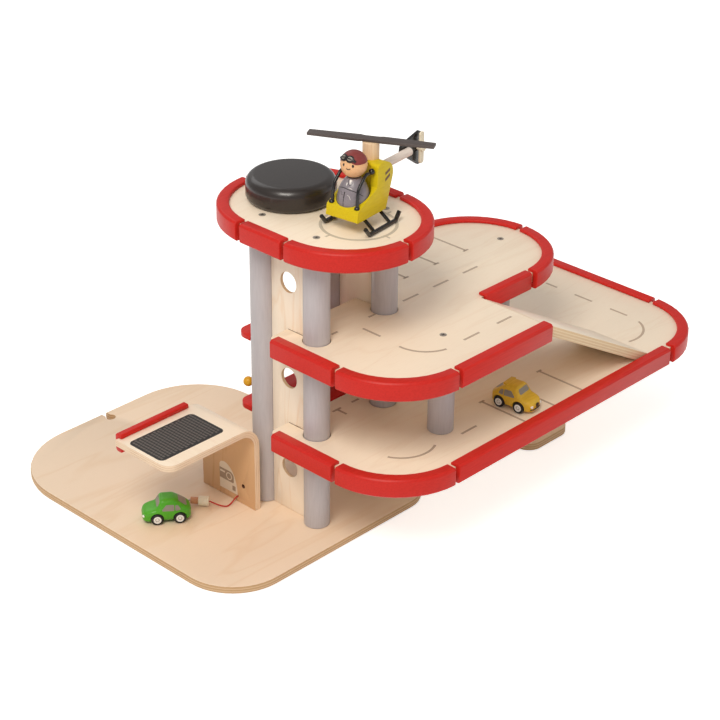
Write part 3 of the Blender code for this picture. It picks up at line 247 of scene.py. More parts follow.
def grained(tree: bpy.types.NodeTree, height: bpy.types.NodeSocket, strength: float) -> bpy.types.NodeSocket:
    """Raise a fine grain.

    Args:
        tree: The material's tree.
        height: The grain's height.
        strength: The bump's strength.

    Returns:
        The normal.
    """
    bump = {"Height": height, "Strength": strength, "Distance": 0.1 * MM}
    return add(tree, "ShaderNodeBump", bump).outputs["Normal"]


def new_material(name: str) -> tuple[bpy.types.Material, bpy.types.NodeTree, bpy.types.Node]:
    """Start a material.

    Args:
        name: Its name.

    Returns:
        The material, its tree and its Principled shader.
    """
    material = bpy.data.materials.new(name)
    material.use_nodes = True
    tree = material.node_tree
    return material, tree, tree.nodes["Principled BSDF"]


def ramp(tree: bpy.types.NodeTree, source: bpy.types.NodeSocket,
         stops: Sequence[tuple[float, str]]) -> bpy.types.NodeSocket:
    """Colour a value with a ramp.

    Args:
        tree: The material's tree.
        source: The value.
        stops: Positions with their hex colours.

    Returns:
        The colour.
    """
    node = add(tree, "ShaderNodeValToRGB", {"Fac": source})
    elements = node.color_ramp.elements
    while len(elements) < len(stops):
        elements.new(0.5)
    for element, (place, colour) in zip(elements, stops):
        element.position = place
        element.color = linear(colour)
    return node.outputs["Color"]


@dataclass(frozen=True)
class Finish:
    """A surface, whose nodes feed a Principled shader."""

    name: str

    def inputs(self, tree: bpy.types.NodeTree, place: bpy.types.NodeSocket) -> dict:
        """Work out what feeds the shader.

        Args:
            tree: The material's tree.
            place: The place on the piece in metres.

        Returns:
            The shader's inputs, each with its value or socket.
        """
        raise NotImplementedError

    @cache
    def material(self) -> bpy.types.Material:
        """Build the material at the first call.

        Returns:
            The material.
        """
        material, tree, shader = new_material(self.name)
        feed(tree, shader, self.inputs(tree, add(tree, "ShaderNodeTexCoord").outputs["Object"]))
        return material


@dataclass(frozen=True)
class BirchFace(Finish):
    """Rotary-cut birch veneer under clear lacquer: pale, with long soft figure and fine pores."""

    light: str = "FDECD4"
    figure: str = "FAE7CE"
    pore: str = "DFBD97"
    along: Axis = Axis.X
    figure_width: float = 38.0
    figure_stretch: float = 7.0
    bands: float = 6.0
    pore_width: float = 0.9
    pore_length: float = 14.0

    def inputs(self, tree: bpy.types.NodeTree, place: bpy.types.NodeSocket) -> dict:
        """Lay the pores over the figure."""
        broad = [1.0 / (self.figure_width * MM)] * 3
        broad[self.along.value] /= self.figure_stretch
        figure = noise(tree, place, 1.0, 3.0, 0.6, broad)
        wave = calc(tree, "PINGPONG", calc(tree, "MULTIPLY", figure, self.bands), 1.0)
        fine = [1.0 / (self.pore_width * MM)] * 3
        fine[self.along.value] = 1.0 / (self.pore_length * MM)
        pores = noise(tree, place, 1.0, 2.0, 0.0, fine)
        base = ramp(tree, wave, ((0.0, self.light), (0.8, self.light), (1.0, self.figure)))
        return {"Base Color": blend(tree, spread(tree, pores, 0.0, 0.16, 0.56, 0.8), base, self.pore),
                "Normal": grained(tree, pores, 0.08), "Roughness": 0.45, "Specular IOR Level": 0.3}


@dataclass(frozen=True)
class PlyEdge(Finish):
    """The sanded edge of birch plywood: thin light and dark plies with their glue lines."""

    light: str = "EBD3B0"
    dark: str = "DAB88C"
    glue: str = "BD956A"
    across: Axis = Axis.Z
    ply: float = 1.5
    tilt: float = 0.0

    def inputs(self, tree: bpy.types.NodeTree, place: bpy.types.NodeSocket) -> dict:
        """Stack the plies and wear their lines."""
        turned = add(tree, "ShaderNodeMapping", {"Vector": place, "Rotation": (0.0, self.tilt, 0.0)})
        split = add(tree, "ShaderNodeSeparateXYZ", {"Vector": turned.outputs["Vector"]})
        plies = calc(tree, "MULTIPLY", split.outputs[self.across.value], 1.0 / (self.ply * MM))
        colour = ramp(tree, calc(tree, "PINGPONG", plies, 1.0), (
            (0.0, self.light), (0.42, self.light), (0.5, self.glue), (0.58, self.dark), (1.0, self.dark)))
        worn = spread(tree, noise(tree, place, 60.0), 0.1, 0.55)
        return {"Base Color": blend(tree, worn, colour, self.light), "Roughness": 0.6}


@dataclass(frozen=True)
class BentPly(Finish):
    """The edge of a bent plywood shell, whose fine glue lines follow its bend."""

    bend_x: float
    bend_z: float
    radius: float
    ply: float = 2.5
    light: str = "F4D9BB"
    line: str = "C99E78"

    def inputs(self, tree: bpy.types.NodeTree, place: bpy.types.NodeSocket) -> dict:
        """Draw thin lines at even steps from the bend's axis."""
        step = partial(calc, tree, kind="ShaderNodeVectorMath")
        away = step("MAXIMUM", step("SUBTRACT", place, at(self.bend_x, 0.0, self.bend_z)), (0.0, 0.0, 0.0))
        reach = step("LENGTH", step("MULTIPLY", away, (1.0, 0.0, 1.0)), output="Value")
        plies = calc(tree, "MULTIPLY", reach, 1.0 / (self.ply * MM))
        wave = calc(tree, "PINGPONG", calc(tree, "SUBTRACT", plies, self.radius / self.ply), 0.5)
        worn = spread(tree, noise(tree, place, 45.0), 0.0, 0.09, 0.35, 0.65)
        stops = ((0.0, self.line), (0.06, self.line), (0.13, self.light))
        return {"Base Color": ramp(tree, calc(tree, "ADD", wave, worn), stops),
                "Roughness": 0.6, "Specular IOR Level": 0.3}


@dataclass(frozen=True)
class WoodPaint(Finish):
    """Water-based paint or stain on turned wood: even colour, a soft gloss, faint raised grain."""

    colour: str
    shade: str
    roughness: float = 0.42
    coat: float = 0.0
    grain: Axis = Axis.X
    grain_width: float = 1.6
    grain_stretch: float = 12.0
    shine: float = 0.4

    def inputs(self, tree: bpy.types.NodeTree, place: bpy.types.NodeSocket) -> dict:
        """Let the grain shade the colour."""
        stretch = [1.0 / (self.grain_width * MM)] * 3
        stretch[self.grain.value] /= self.grain_stretch
        grain = noise(tree, place, 1.0, 3.0, 0.0, stretch)
        return {"Base Color": ramp(tree, grain, ((0.3, self.shade), (0.62, self.colour))),
                "Normal": grained(tree, grain, 0.06), "Roughness": self.roughness,
                "Specular IOR Level": self.shine, "Coat Weight": self.coat, "Coat Roughness": 0.15}


@dataclass(frozen=True)
class PlainFinish(Finish):
    """A moulded, printed or plated surface with a light mottle: ink, plastic, rubber or zinc."""

    colour: str
    roughness: float = 0.5
    metallic: float = 0.0
    mottle: float = 0.06

    def inputs(self, tree: bpy.types.NodeTree, place: bpy.types.NodeSocket) -> dict:
        """Mottle the colour."""
        value = spread(tree, noise(tree, place, 400.0, 2.0), 1.0 - self.mottle, 1.0 + self.mottle)
        colour = add(tree, "ShaderNodeHueSaturation", {"Value": value, "Color": linear(self.colour)})
        return {"Base Color": colour.outputs["Color"], "Roughness": self.roughness, "Metallic": self.metallic}


DECK_FACE = BirchFace("birch_veneer_deck")
BASE_FACE = BirchFace("birch_veneer_base", light="F5DDC2", figure="F1D6B8", figure_width=60.0)
PANEL_FACE = BirchFace("birch_veneer_panel", light="FDEDD8", figure="F8E2C8", along=Axis.Z, figure_width=26.0)
CANOPY_FACE = BirchFace("birch_veneer_canopy", along=Axis.Y, figure_width=34.0)
# Painted shade: the canopy wall's inner face gets a darker copy of the birch veneer, standing in for the shade inside
# the canopy.
CANOPY_INSIDE_SHADE = BirchFace("birch_veneer_inside", light="D8AC80", figure="CD9D6E", pore="B17E50", along=Axis.Z,
                          figure_width=30.0)
FLAT_EDGE = PlyEdge("birch_ply_edge_flat")
BASE_EDGE = PlyEdge("birch_ply_edge_base", light="DDBB92", dark="BD9162", glue="946B45")
PANEL_EDGE = PlyEdge("birch_ply_edge_panel", across=Axis.X)
RED_PAINT = WoodPaint("red_paint_on_beech", "D32A21", "C9241C", roughness=0.4, shine=0.24)
GREY_STAIN = WoodPaint("grey_stain_on_beech_dowel", "C1BBBD", "BBB5B7", roughness=0.4, grain=Axis.Z)
BLACK_PAINT = WoodPaint("black_paint_on_beech_wheel", "2A211D", "261E1A", roughness=0.36, coat=0.35, shine=0.5)
GREEN_PAINT = WoodPaint("green_gloss_paint", "55AC2A", "4EA326", roughness=0.3, coat=0.15, shine=0.25)
CAR_YELLOW = WoodPaint("yellow_gloss_paint", "E8BD3A", "DCB132", roughness=0.3, coat=0.15, shine=0.25)
HELI_YELLOW = WoodPaint("helicopter_yellow_paint", "E0C717", "D8BE14", roughness=0.38, shine=0.25)
NATURAL_WOOD = WoodPaint("lacquered_rubberwood", "F2D2AC", "E8C299", roughness=0.45, grain=Axis.Z)
PALE_WOOD = WoodPaint("lacquered_pale_dowel", "EFE0D4", "E5D3C6", roughness=0.45, grain=Axis.X)
PLUG_WOOD = WoodPaint("stained_plug_nose", "D69A74", "C88A64", roughness=0.5)
CREAM_WOOD = WoodPaint("cream_painted_maple", "F4E9D2", "ECDFC4", roughness=0.45)
UNIFORM = WoodPaint("grey_violet_paint", "8E868C", "857D84", roughness=0.35, coat=0.25)
SKIN = WoodPaint("skin_paint_on_beech", "F3C08F", "EBB684", roughness=0.4, shine=0.3)
HELMET = WoodPaint("dark_red_paint", "8B3F3D", "823937", roughness=0.4, shine=0.3)
KNOB_PAINT = WoodPaint("yellow_knob_paint", "E0A521", "D69B1C", roughness=0.38)
BLACK_PLASTIC = PlainFinish("black_moulded_abs", "191616", roughness=0.26)
ROTOR_BLACK = PlainFinish("black_matt_lacquered_ply", "524845", roughness=0.5)
TYRE = PlainFinish("black_rubber_tyre", "161414", roughness=0.6)
HUB = PlainFinish("white_moulded_hub", "F1EFEA", roughness=0.35)
HUB_RING = PlainFinish("grey_hub_recess", "B9B5AD", roughness=0.45)
WINDOW_INK = PlainFinish("grey_window_print", "90887C", roughness=0.4)
ROAD_INK = PlainFinish("grey_road_print", "C0AA94", roughness=0.55)
RING_INK = PlainFinish("pale_ring_print", "CFC1AC", roughness=0.55)
# Black print for the yellow car's bumper and grille, and painted shade for the screws' cross recesses.
DARK_PRINT_AND_SHADE = PlainFinish("dark_print", "2B2320", roughness=0.5)
STRIPE_INK = PlainFinish("brown_stripe_print", "6F5126", roughness=0.5)
SOLAR_INK = PlainFinish("black_solar_print", "1D1611", roughness=0.4)
CELL_INK = PlainFinish("grey_cell_print", "625952", roughness=0.4)
LABEL_INK = PlainFinish("cream_label_print", "E9D6BE", roughness=0.5)
BAND_INK = PlainFinish("brown_grey_label_print", "A58C76", roughness=0.5)
WHITE_INK = PlainFinish("white_print", "F6F2EA", roughness=0.45)
EYE_INK = PlainFinish("black_face_print", "1B1413", roughness=0.4)
# Painted shade: a dark colour for the walls of the canopy's peg hole and for the strips in the panel's slots.
HOLE_SHADE = PlainFinish("dark_hole_wall", "6B432C", roughness=0.8)
ZINC = PlainFinish("zinc_plated_steel", "A9A6A0", roughness=0.35, metallic=1.0)
SCREW_ZINC = PlainFinish("brushed_zinc_head", "A89E92", roughness=0.45, metallic=0.3)
RED_CORD = PlainFinish("red_twisted_cord", "C62420", roughness=0.7)
WHITE_CORD = PlainFinish("white_braided_cord", "E8E2D8", roughness=0.8)


# Making and placing pieces

def dress(item: bpy.types.Object, slot: str, *finishes: Finish, node: str = "",
          body: str = Body.GARAGE.value) -> bpy.types.Object:
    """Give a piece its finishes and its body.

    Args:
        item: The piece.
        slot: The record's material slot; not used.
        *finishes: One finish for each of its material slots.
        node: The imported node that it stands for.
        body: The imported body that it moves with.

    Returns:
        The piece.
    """
    for finish in finishes:
        item.data.materials.append(finish.material())
    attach(item, body)
    if node:
        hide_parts(node)
    LOG.info("dressed %s", item.name)
    return item


dress_flyer = partial(dress, body=Body.HELICOPTER.value)


def linked(name: str, data: bpy.types.ID) -> bpy.types.Object:
    """Link an object to the scene.

    Args:
        name: Its name.
        data: Its mesh, curve, lamp or camera.

    Returns:
        The object.
    """
    item = bpy.data.objects.new(name, data)
    bpy.context.scene.collection.objects.link(item)
    return item


def finish_mesh(name: str, body: bmesh.types.BMesh, matrix: Matrix | None = None,
                sharp: float = 40.0) -> bpy.types.Object:
    """Turn a mesh under construction into an object at the origin.

    Args:
        name: The object's name.
        body: The mesh, which is freed.
        matrix: What places it in the world.
        sharp: Degrees past which an edge stays sharp.

    Returns:
        The object.
    """
    if matrix is not None:
        body.transform(matrix)
    bmesh.ops.recalc_face_normals(body, faces=body.faces)
    mesh = bpy.data.meshes.new(name)
    body.to_mesh(mesh)
    body.free()
    mesh.shade_smooth()
    mesh.set_sharp_from_angle(angle=math.radians(sharp))
    return linked(name, mesh)


def skin(name: str, rings: Sequence[Sequence[Sequence[float]]], matrix: Matrix = TOWER, sharp: float = 40.0,
         slots: Sequence[int] = (), caps: Sequence[int] = (), around: bool = True) -> bpy.types.Object:
    """Join rings of points with faces.

    Args:
        name: The object's name.
        rings: The rings, each with as many points as the others or with one.
        matrix: What places it in the world.
        sharp: Degrees past which an edge stays sharp.
        slots: The material slot of each stretch between two rings.
        caps: The rings that a face closes.
        around: Whether a ring's last point joins its first.

    Returns:
        The object at the origin.
    """
    body = bmesh.new()
    made = [[body.verts.new(point) for point in ring] for ring in rings]
    sides = max(len(ring) for ring in made)
    for index, (first, second) in enumerate(zip(made, made[1:])):
        for side in range(sides if around else sides - 1):
            after = (side + 1) % sides
            corners = [first[side % len(first)], first[after % len(first)],
                       second[after % len(second)], second[side % len(second)]]
            face = body.faces.new(list(dict.fromkeys(corners)))
            face.material_index = slots[index] if slots else 0
    for ring in caps:
        body.faces.new(made[ring])
    return finish_mesh(name, body, matrix, sharp)


def flatten(item: bpy.types.Object) -> bpy.types.Object:
    """Apply an object's modifiers and weld it.

    Args:
        item: A curve or mesh object with modifiers.

    Returns:
        A mesh object with the same name and place.
    """
    bpy.context.view_layer.update()
    evaluated = item.evaluated_get(bpy.context.evaluated_depsgraph_get())
    mesh = bpy.data.meshes.new_from_object(evaluated)
    mesh.transform(item.matrix_world)
    name = item.name
    bpy.data.objects.remove(item, do_unlink=True)
    body = bmesh.new()
    body.from_mesh(mesh)
    bpy.data.meshes.remove(mesh)
    bmesh.ops.remove_doubles(body, verts=body.verts, dist=0.002 * MM)
    return finish_mesh(name, body)


def eased(item: bpy.types.Object, width: float, segments: int = 2, crease: float = 30.0) -> bpy.types.Object:
    """Round an object's sharp edges and weight its normals.

    Args:
        item: The object.
        width: The rounding's width in millimetres.
        segments: Its segments.
        crease: Degrees past which an edge is rounded.

    Returns:
        The result as a plain mesh.
    """
    bevel = item.modifiers.new("eased_edges", "BEVEL")
    bevel.width = width * MM
    bevel.segments = segments
    bevel.limit_method = "ANGLE"
    bevel.angle_limit = math.radians(crease)
    item.modifiers.new("even_normals", "WEIGHTED_NORMAL").keep_sharp = True
    return flatten(item)


def thickened(item: bpy.types.Object, thickness: float) -> bpy.types.Object:
    """Give an open skin its thickness, half to each side.

    Args:
        item: The skin.
        thickness: Its thickness in millimetres.

    Returns:
        The result as a plain mesh.
    """
    change = item.modifiers.new("thickness", "SOLIDIFY")
    change.thickness = thickness * MM
    change.offset = 0.0
    return flatten(item)


def copy_of(node: str, suffix: str, width: float, segments: int = 2) -> bpy.types.Object:
    """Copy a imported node, merge its triangles and ease its edges.

    Args:
        node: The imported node.
        suffix: What its name ends in.
        width: The edges' rounding in millimetres.
        segments: Its segments.

    Returns:
        The copy.
    """
    body = bmesh.new()
    body.from_mesh(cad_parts[node].data)
    bmesh.ops.remove_doubles(body, verts=body.verts, dist=0.005 * MM)
    bmesh.ops.dissolve_limit(body, angle_limit=math.radians(1.0), verts=body.verts, edges=body.edges)
    return eased(finish_mesh(node + suffix, body), width, segments)


def dress_copy(node: str, suffix: str, width: float, slot: str, finish: Finish, segments: int = 2,
               body: str = Body.GARAGE.value) -> None:
    """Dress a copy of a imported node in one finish.

    Args:
        node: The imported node.
        suffix: What the copy's name ends in.
        width: The edges' rounding in millimetres.
        slot: The record's material slot.
        finish: The finish.
        segments: The rounding's segments.
        body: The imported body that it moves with.
    """
    dress(copy_of(node, suffix, width, segments), slot, finish, node=node, body=body)


def plate_slots(item: bpy.types.Object, across: Vector) -> None:
    """Give the second material slot to the faces on the edge of a plate.

    Args:
        item: The plate.
        across: The direction through its thickness.
    """
    for polygon in item.data.polygons:
        polygon.material_index = 0 if abs(polygon.normal.dot(across)) > 0.8 else 1


def rounded(corners: Sequence[tuple[float, float, float]], step: float = 10.0) -> list[Vector]:
    """Turn (x, y, radius) corners into points.

    Args:
        corners: The outline's corners.
        step: Degrees between an arc's points.

    Returns:
        The outline's points.
    """
    points = []
    for index, (x, y, radius) in enumerate(corners):
        corner = Vector((x, y))
        if radius <= 0.0:
            points.append(corner)
            continue
        back = (Vector(corners[index - 1][:2]) - corner).normalized()
        ahead = (Vector(corners[(index + 1) % len(corners)][:2]) - corner).normalized()
        half = back.angle(ahead) / 2
        centre = corner + (back + ahead).normalized() * radius / math.sin(half)
        start = corner + back * radius / math.tan(half) - centre
        turn = math.pi - 2 * half
        if back.cross(ahead) > 0:
            turn = -turn
        steps = max(2, math.ceil(abs(math.degrees(turn)) / step))
        points += [centre + Matrix.Rotation(turn * share / steps, 2) @ start for share in range(steps + 1)]
    return points


def box(left: float, front: float, right: float, back: float, radius: float = 0.0) -> list[Vector]:
    """Give the outline of a rectangle with rounded corners.

    Args:
        left: Its left side.
        front: Its front.
        right: Its right side.
        back: Its back.
        radius: Its corners' radius.

    Returns:
        The outline's points.
    """
    return rounded([(left, front, radius), (right, front, radius), (right, back, radius), (left, back, radius)])


def circle(x: float, y: float, radius: float, sides: int = 40) -> list[Vector]:
    """Give the points of a circle.

    Args:
        x: Its centre.
        y: Its centre.
        radius: Its radius.
        sides: How many points.

    Returns:
        The points.
    """
    turns = [2 * math.pi * side / sides for side in range(sides)]
    return [Vector((x + radius * math.cos(turn), y + radius * math.sin(turn))) for turn in turns]


def curved(name: str, lines: Sequence[Sequence[Sequence[float]]], cyclic: bool = False,
           shares: Sequence[float] = (), **settings: object) -> bpy.types.Object:
    """Make a curve of straight stretches.

    Args:
        name: Its name.
        lines: The points of each of its lines.
        cyclic: Whether each line closes on itself.
        shares: Each point's share of the bevel, or nothing for all of it.
        **settings: The curve's own properties.

    Returns:
        The curve.
    """
    curve = bpy.data.curves.new(name, "CURVE")
    for setting, value in settings.items():
        setattr(curve, setting, value)
    for line in lines:
        spline = curve.splines.new("POLY")
        spline.points.add(len(line) - 1)
        spline.use_cyclic_u = cyclic
        for point, place, share in zip(spline.points, line, shares or [1.0] * len(line)):
            point.co = (*Vector(place).to_3d(), 1.0)
            point.radius = share
    return linked(name, curve)


def prism(name: str, outlines: Sequence[Sequence[Vector]], low: float, high: float,
          matrix: Matrix = TOWER) -> bpy.types.Object:
    """Extrude outlines along local Z.

    Args:
        name: The object's name.
        outlines: The edge and then any holes.
        low: Where it starts, in millimetres.
        high: Where it ends.
        matrix: What places it in the world.

    Returns:
        The object at the origin.
    """
    item = curved(name, outlines, True, dimensions="2D", fill_mode="BOTH", extrude=(high - low) / 2)
    item.matrix_world = matrix @ Matrix.Translation((0.0, 0.0, (low + high) / 2))
    return flatten(item)


def lathe(name: str, profile: Sequence[Point2], matrix: Matrix = TOWER, sides: int = 64,
          slots: Sequence[int] = ()) -> bpy.types.Object:
    """Turn (radius, height) points about local Z.

    Args:
        name: The object's name.
        profile: The points, which start and end on the axis or close on themselves.
        matrix: What places it in the world.
        sides: Facets round the axis.
        slots: The material slot of each stretch of the profile.

    Returns:
        The object at the origin.
    """
    rings = [[(*point, height) for point in (circle(0.0, 0.0, radius, sides) if radius > 1e-6 else [(0.0, 0.0)])]
             for radius, height in profile]
    return skin(name, rings, matrix, slots=slots)


def arc_profile(x: float, z: float, radius: float, first: float, last: float, steps: int = 8) -> list[Point2]:
    """Give the points of an arc in a turned profile.

    Args:
        x: The centre's radius.
        z: The centre's height.
        radius: The arc's radius.
        first: Its first angle in degrees.
        last: Its last angle.
        steps: How many steps.

    Returns:
        The points.
    """
    angles = [math.radians(first + (last - first) * step / steps) for step in range(steps + 1)]
    return [(x + radius * math.cos(angle), z + radius * math.sin(angle)) for angle in angles]


def drum(radius: float, low: float, high: float, ease: float) -> list[Point2]:
    """Give the profile of a solid cylinder with eased rims.

    Args:
        radius: Its radius.
        low: Its lower end.
        high: Its upper end.
        ease: The rims' rounding.

    Returns:
        The points from the lower centre to the upper one.
    """
    points = [(0.0, low)] + arc_profile(radius - ease, low + ease, ease, -90.0, 0.0, 4)
    return points + arc_profile(radius - ease, high - ease, ease, 0.0, 90.0, 4) + [(0.0, high)]


def pipe(name: str, points: Sequence[Sequence[float]], radius: float, matrix: Matrix = TOWER,
         shares: Sequence[float] = (), resolution: int = 4) -> bpy.types.Object:
    """Make a round tube along points.

    Args:
        name: The object's name.
        points: The centreline in millimetres.
        radius: The tube's radius.
        matrix: What places it in the world.
        shares: Each point's share of the radius.
        resolution: The tube's bevel resolution.

    Returns:
        The tube as a mesh.
    """
    item = curved(name, [points], False, shares, dimensions="3D", bevel_depth=radius,
                  bevel_resolution=resolution, use_fill_caps=True)
    item.matrix_world = matrix
    return flatten(item)


def smooth_route(stations: Sequence[Sequence[float]], spacing: float) -> list[Vector]:
    """Run a smooth curve through stations.

    Args:
        stations: The points that it passes.
        spacing: The distance between the points that are returned.

    Returns:
        The curve's points.
    """
    route = [Vector(station) for station in stations]
    ends = [2 * route[0] - route[1]] + route + [2 * route[-1] - route[-2]]
    dense = []
    for before, start, stop, after in zip(ends, ends[1:], ends[2:], ends[3:]):
        steps = max(1, round((stop - start).length / spacing))
        for step in range(steps):
            t = step / steps
            bend = 2 * start + (stop - before) * t
            bend += (2 * before - 5 * start + 4 * stop - after) * t ** 2
            bend += (3 * start - before - 3 * stop + after) * t ** 3
            dense.append(bend / 2)
    return dense + [route[-1]]


def joined(name: str, items: Sequence[bpy.types.Object]) -> bpy.types.Object:
    """Join objects that share their materials.

    Args:
        name: The result's name.
        items: The objects, which go.

    Returns:
        One object.
    """
    body = bmesh.new()
    for item in items:
        body.from_mesh(item.data)
        bpy.data.objects.remove(item, do_unlink=True)
    return finish_mesh(name, body)


def carve(item: bpy.types.Object, cutter: bpy.types.Object) -> bpy.types.Object:
    """Cut one object with another.

    Args:
        item: The object that is cut.
        cutter: The cutter, which goes.

    Returns:
        The result, under the first object's name.
    """
    change = item.modifiers.new("carve", "BOOLEAN")
    change.operation = "DIFFERENCE"
    change.solver = "EXACT"
    change.object = cutter
    result = flatten(item)
    bpy.data.objects.remove(cutter, do_unlink=True)
    return result


# Plywood and painted wood

@dataclass
class Timber:
    """The garage's plywood, which keeps its packed form with eased edges."""

    ramp_run: float = 391.0 - 193.3
    ramp_rise: float = 220.2 - 109.1

    def build(self) -> None:
        """Make every plywood piece but the canopy."""
        slope = math.atan2(self.ramp_rise, self.ramp_run)
        sheets = [(name + "_deck", DECK_FACE, FLAT_EDGE, UP, 0.5) for name in ("lower", "middle", "top")]
        sheets.append(("base_plate", BASE_FACE, BASE_EDGE, UP, 0.6))
        sheets.append(("ramp", DECK_FACE, PlyEdge("birch_ply_edge_ramp", tilt=-slope),
                       Vector((math.sin(slope), 0.0, math.cos(slope))), 0.4))
        for name in ("left", "right"):
            sheets.append(("tower_panel_" + name, PANEL_FACE, PANEL_EDGE, Vector((1.0, 0.0, 0.0)), 0.4))
        for node, face, edge, across, ease in sheets:
            item = copy_of(node, "_sheet", ease)
            plate_slots(item, across)
            dress(item, PLYWOOD, face, edge, node=node)


@dataclass
class Rails:
    """The grooved red rails round the decks and on the canopy."""

    ease: float = 1.8

    def build(self) -> None:
        """Make each rail from its solid."""
        for node in sorted(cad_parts):
            if "rail" in node:
                dress_copy(node, "_painted", self.ease, "red_painted_wood", RED_PAINT, 3)


@dataclass
class Dowels:
    """The grey columns and posts, and the foot."""

    radius: float = 14.0
    ease: float = 0.8
    foot_half_x: float = 38.0
    foot_half_y: float = 89.0
    foot_corner: float = 18.0

    def dowel(self, name: str, place: Point2, low: float, high: float, node: str = "") -> None:
        """Turn one column.

        Args:
            name: Its name.
            place: Where it stands.
            low: Its foot's height.
            high: The height of what it carries.
            node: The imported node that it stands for.
        """
        item = lathe(name + "_stained", drum(self.radius, low, high - GAP, self.ease), stand(*place, 0.0, 0.0))
        dress(item, "grey_stained_wood", GREY_STAIN, node=node)

    def build(self) -> None:
        """Make the columns, the posts and the foot."""
        for name, place in COLUMNS.items():
            self.dowel("column_" + name, place, GAP, LEVEL_TOP - PLY, "tower_column_" + name)
        for name, place in (("front_post", FRONT_POST), ("rear_post", REAR_POST)):
            self.dowel(name, place, LEVEL_LOW + GAP, LEVEL_MID - PLY, name)
        self.dowel("foot_post", REAR_POST, 0.0, LEVEL_LOW - PLY)
        x, y = REAR_POST
        outline = box(x - self.foot_half_x, y - self.foot_half_y, x + self.foot_half_x, y + self.foot_half_y,
                      self.foot_corner)
        plate = eased(prism("foot_plate", [outline], -BASE_PLY, 0.0), 1.2, 3)
        plate_slots(plate, UP)
        dress(plate, PLYWOOD, BASE_FACE, BASE_EDGE, node="foot")


@dataclass
class Canopy:
    """The bent plywood canopy with its solar print, label and peg hole."""

    right: float = -23.5
    bend: float = 25.0
    height: float = 105.0
    ply: float = 7.5
    panel_left: float = -146.5
    panel_right: float = -57.5
    panel_front: float = 78.5
    panel_back: float = 132.0
    panel_corner: float = 6.0
    cell_length: float = 2.3
    cell_width: float = 3.2
    cell_margin: Point2 = (9.0, 10.0)
    print_lift: float = 0.12
    peg: Point2 = (81.6, 23.1)
    peg_radius: float = 2.8

    def shell(self) -> None:
        """Dress the bent shell."""
        item = copy_of("canopy_shell", "_lacquered", 0.5)
        for polygon in item.data.polygons:
            side, middle = polygon.normal, TOWER.inverted() @ polygon.center
            in_roof = middle.z > self.height - self.ply - 0.1
            polygon.material_index = 0
            # The peg hole's walls take the dark colour: painted shade.
            if (middle.yz - Vector(self.peg)).length < self.peg_radius and abs(side.x) < 0.9:
                polygon.material_index = 3
            elif abs(side.y) > 0.7 or (in_roof and abs(side.z) < 0.6 and middle.x < self.panel_right):
                polygon.material_index = 1
            # Faces of the wall that look inwards take the darker veneer: painted shade.
            elif side.x < -0.15 and not in_roof:
                polygon.material_index = 2
        edge = BentPly("birch_ply_edge_bent", self.right - self.bend, self.height - self.bend, self.bend)
        dress(item, PLYWOOD, CANOPY_FACE, edge, CANOPY_INSIDE_SHADE, HOLE_SHADE, node="canopy_shell")

    def solar_print(self) -> None:
        """Print the dark panel and its staggered cells on the roof."""
        left, right, front, back = self.panel_left, self.panel_right, self.panel_front, self.panel_back
        top = self.height + self.print_lift
        panel = prism("solar_panel_print", [box(left, front, right, back, self.panel_corner)], self.height, top)
        dress(panel, PLYWOOD, SOLAR_INK)
        size = Vector((right - left, back - front)) - Vector(self.cell_margin)
        block = Vector((self.cell_length, self.cell_width, self.print_lift)) * MM
        cells = CellGrid("solar_cells_print", size.x * MM, size.y * MM, block)
        dress(cells.lay(CELL_INK, at((left + right) / 2, (front + back) / 2, top)), PLYWOOD, CELL_INK)

    def label(self) -> None:
        """Print the arched charging label on the inner face of the wall."""
        wall = self.right - self.ply
        across = TOWER @ Matrix.Translation((wall, 0.0, 0.0)) @ Matrix.Rotation(math.pi / 2, 4, "Z") @ ON_EDGE
        low, high, front, back = 8.0, 42.0, 91.0, 119.0
        bow = back - 7.0
        turns = [math.radians(180.0 - 6.0 * step) for step in range(16)]
        arch = [Vector((bow + (bow - front) * math.cos(t), low + (high - low) * math.sin(t))) for t in turns]
        arch += [Vector((back - 2.0, high - 1.5)), Vector((back, high - 5.0)), Vector((back, low))]
        band = rounded([(front + 5.5, 20.0, 2.0), (back, 20.0, 0.0), (back, 33.0, 0.0), (front + 5.5, 33.0, 6.0)])
        pieces = (
            ("label_ground", [arch], LABEL_INK, 1),
            ("label_band", [band], BAND_INK, 2),
            ("label_ring", [circle(front + 13.0, 26.5, 4.6), circle(front + 13.0, 26.5, 3.4)], LABEL_INK, 3),
            ("label_line", [box(back - 8.5, 28.0, back - 1.0, 30.2)], LABEL_INK, 3),
            ("label_square", [box(front + 3.0, 11.0, front + 8.0, 17.0, 0.8)], BAND_INK, 2),
        )
        for name, outlines, finish, layer in pieces:
            dress(prism(name, outlines, -layer * self.print_lift / 2, 0.0, across), PLYWOOD, finish)

    def build(self) -> None:
        """Make the canopy."""
        self.shell()
        self.solar_print()
        self.label()


def start_tree(name: str, inputs: dict[str, tuple[str, object]]) -> tuple[bpy.types.NodeTree, Sequence]:
    """Start a Geometry Nodes tree.

    Args:
        name: Its name.
        inputs: The socket type and the default of each named input.

    Returns:
        The tree and its inputs' sockets.
    """
    tree = bpy.data.node_groups.new(name, "GeometryNodeTree")
    tree.interface.new_socket("Geometry", in_out="OUTPUT", socket_type="NodeSocketGeometry")
    for label, (kind, value) in inputs.items():
        socket = tree.interface.new_socket(label, in_out="INPUT", socket_type="NodeSocket" + kind)
        socket.default_value = value
    return tree, add(tree, "NodeGroupInput").outputs


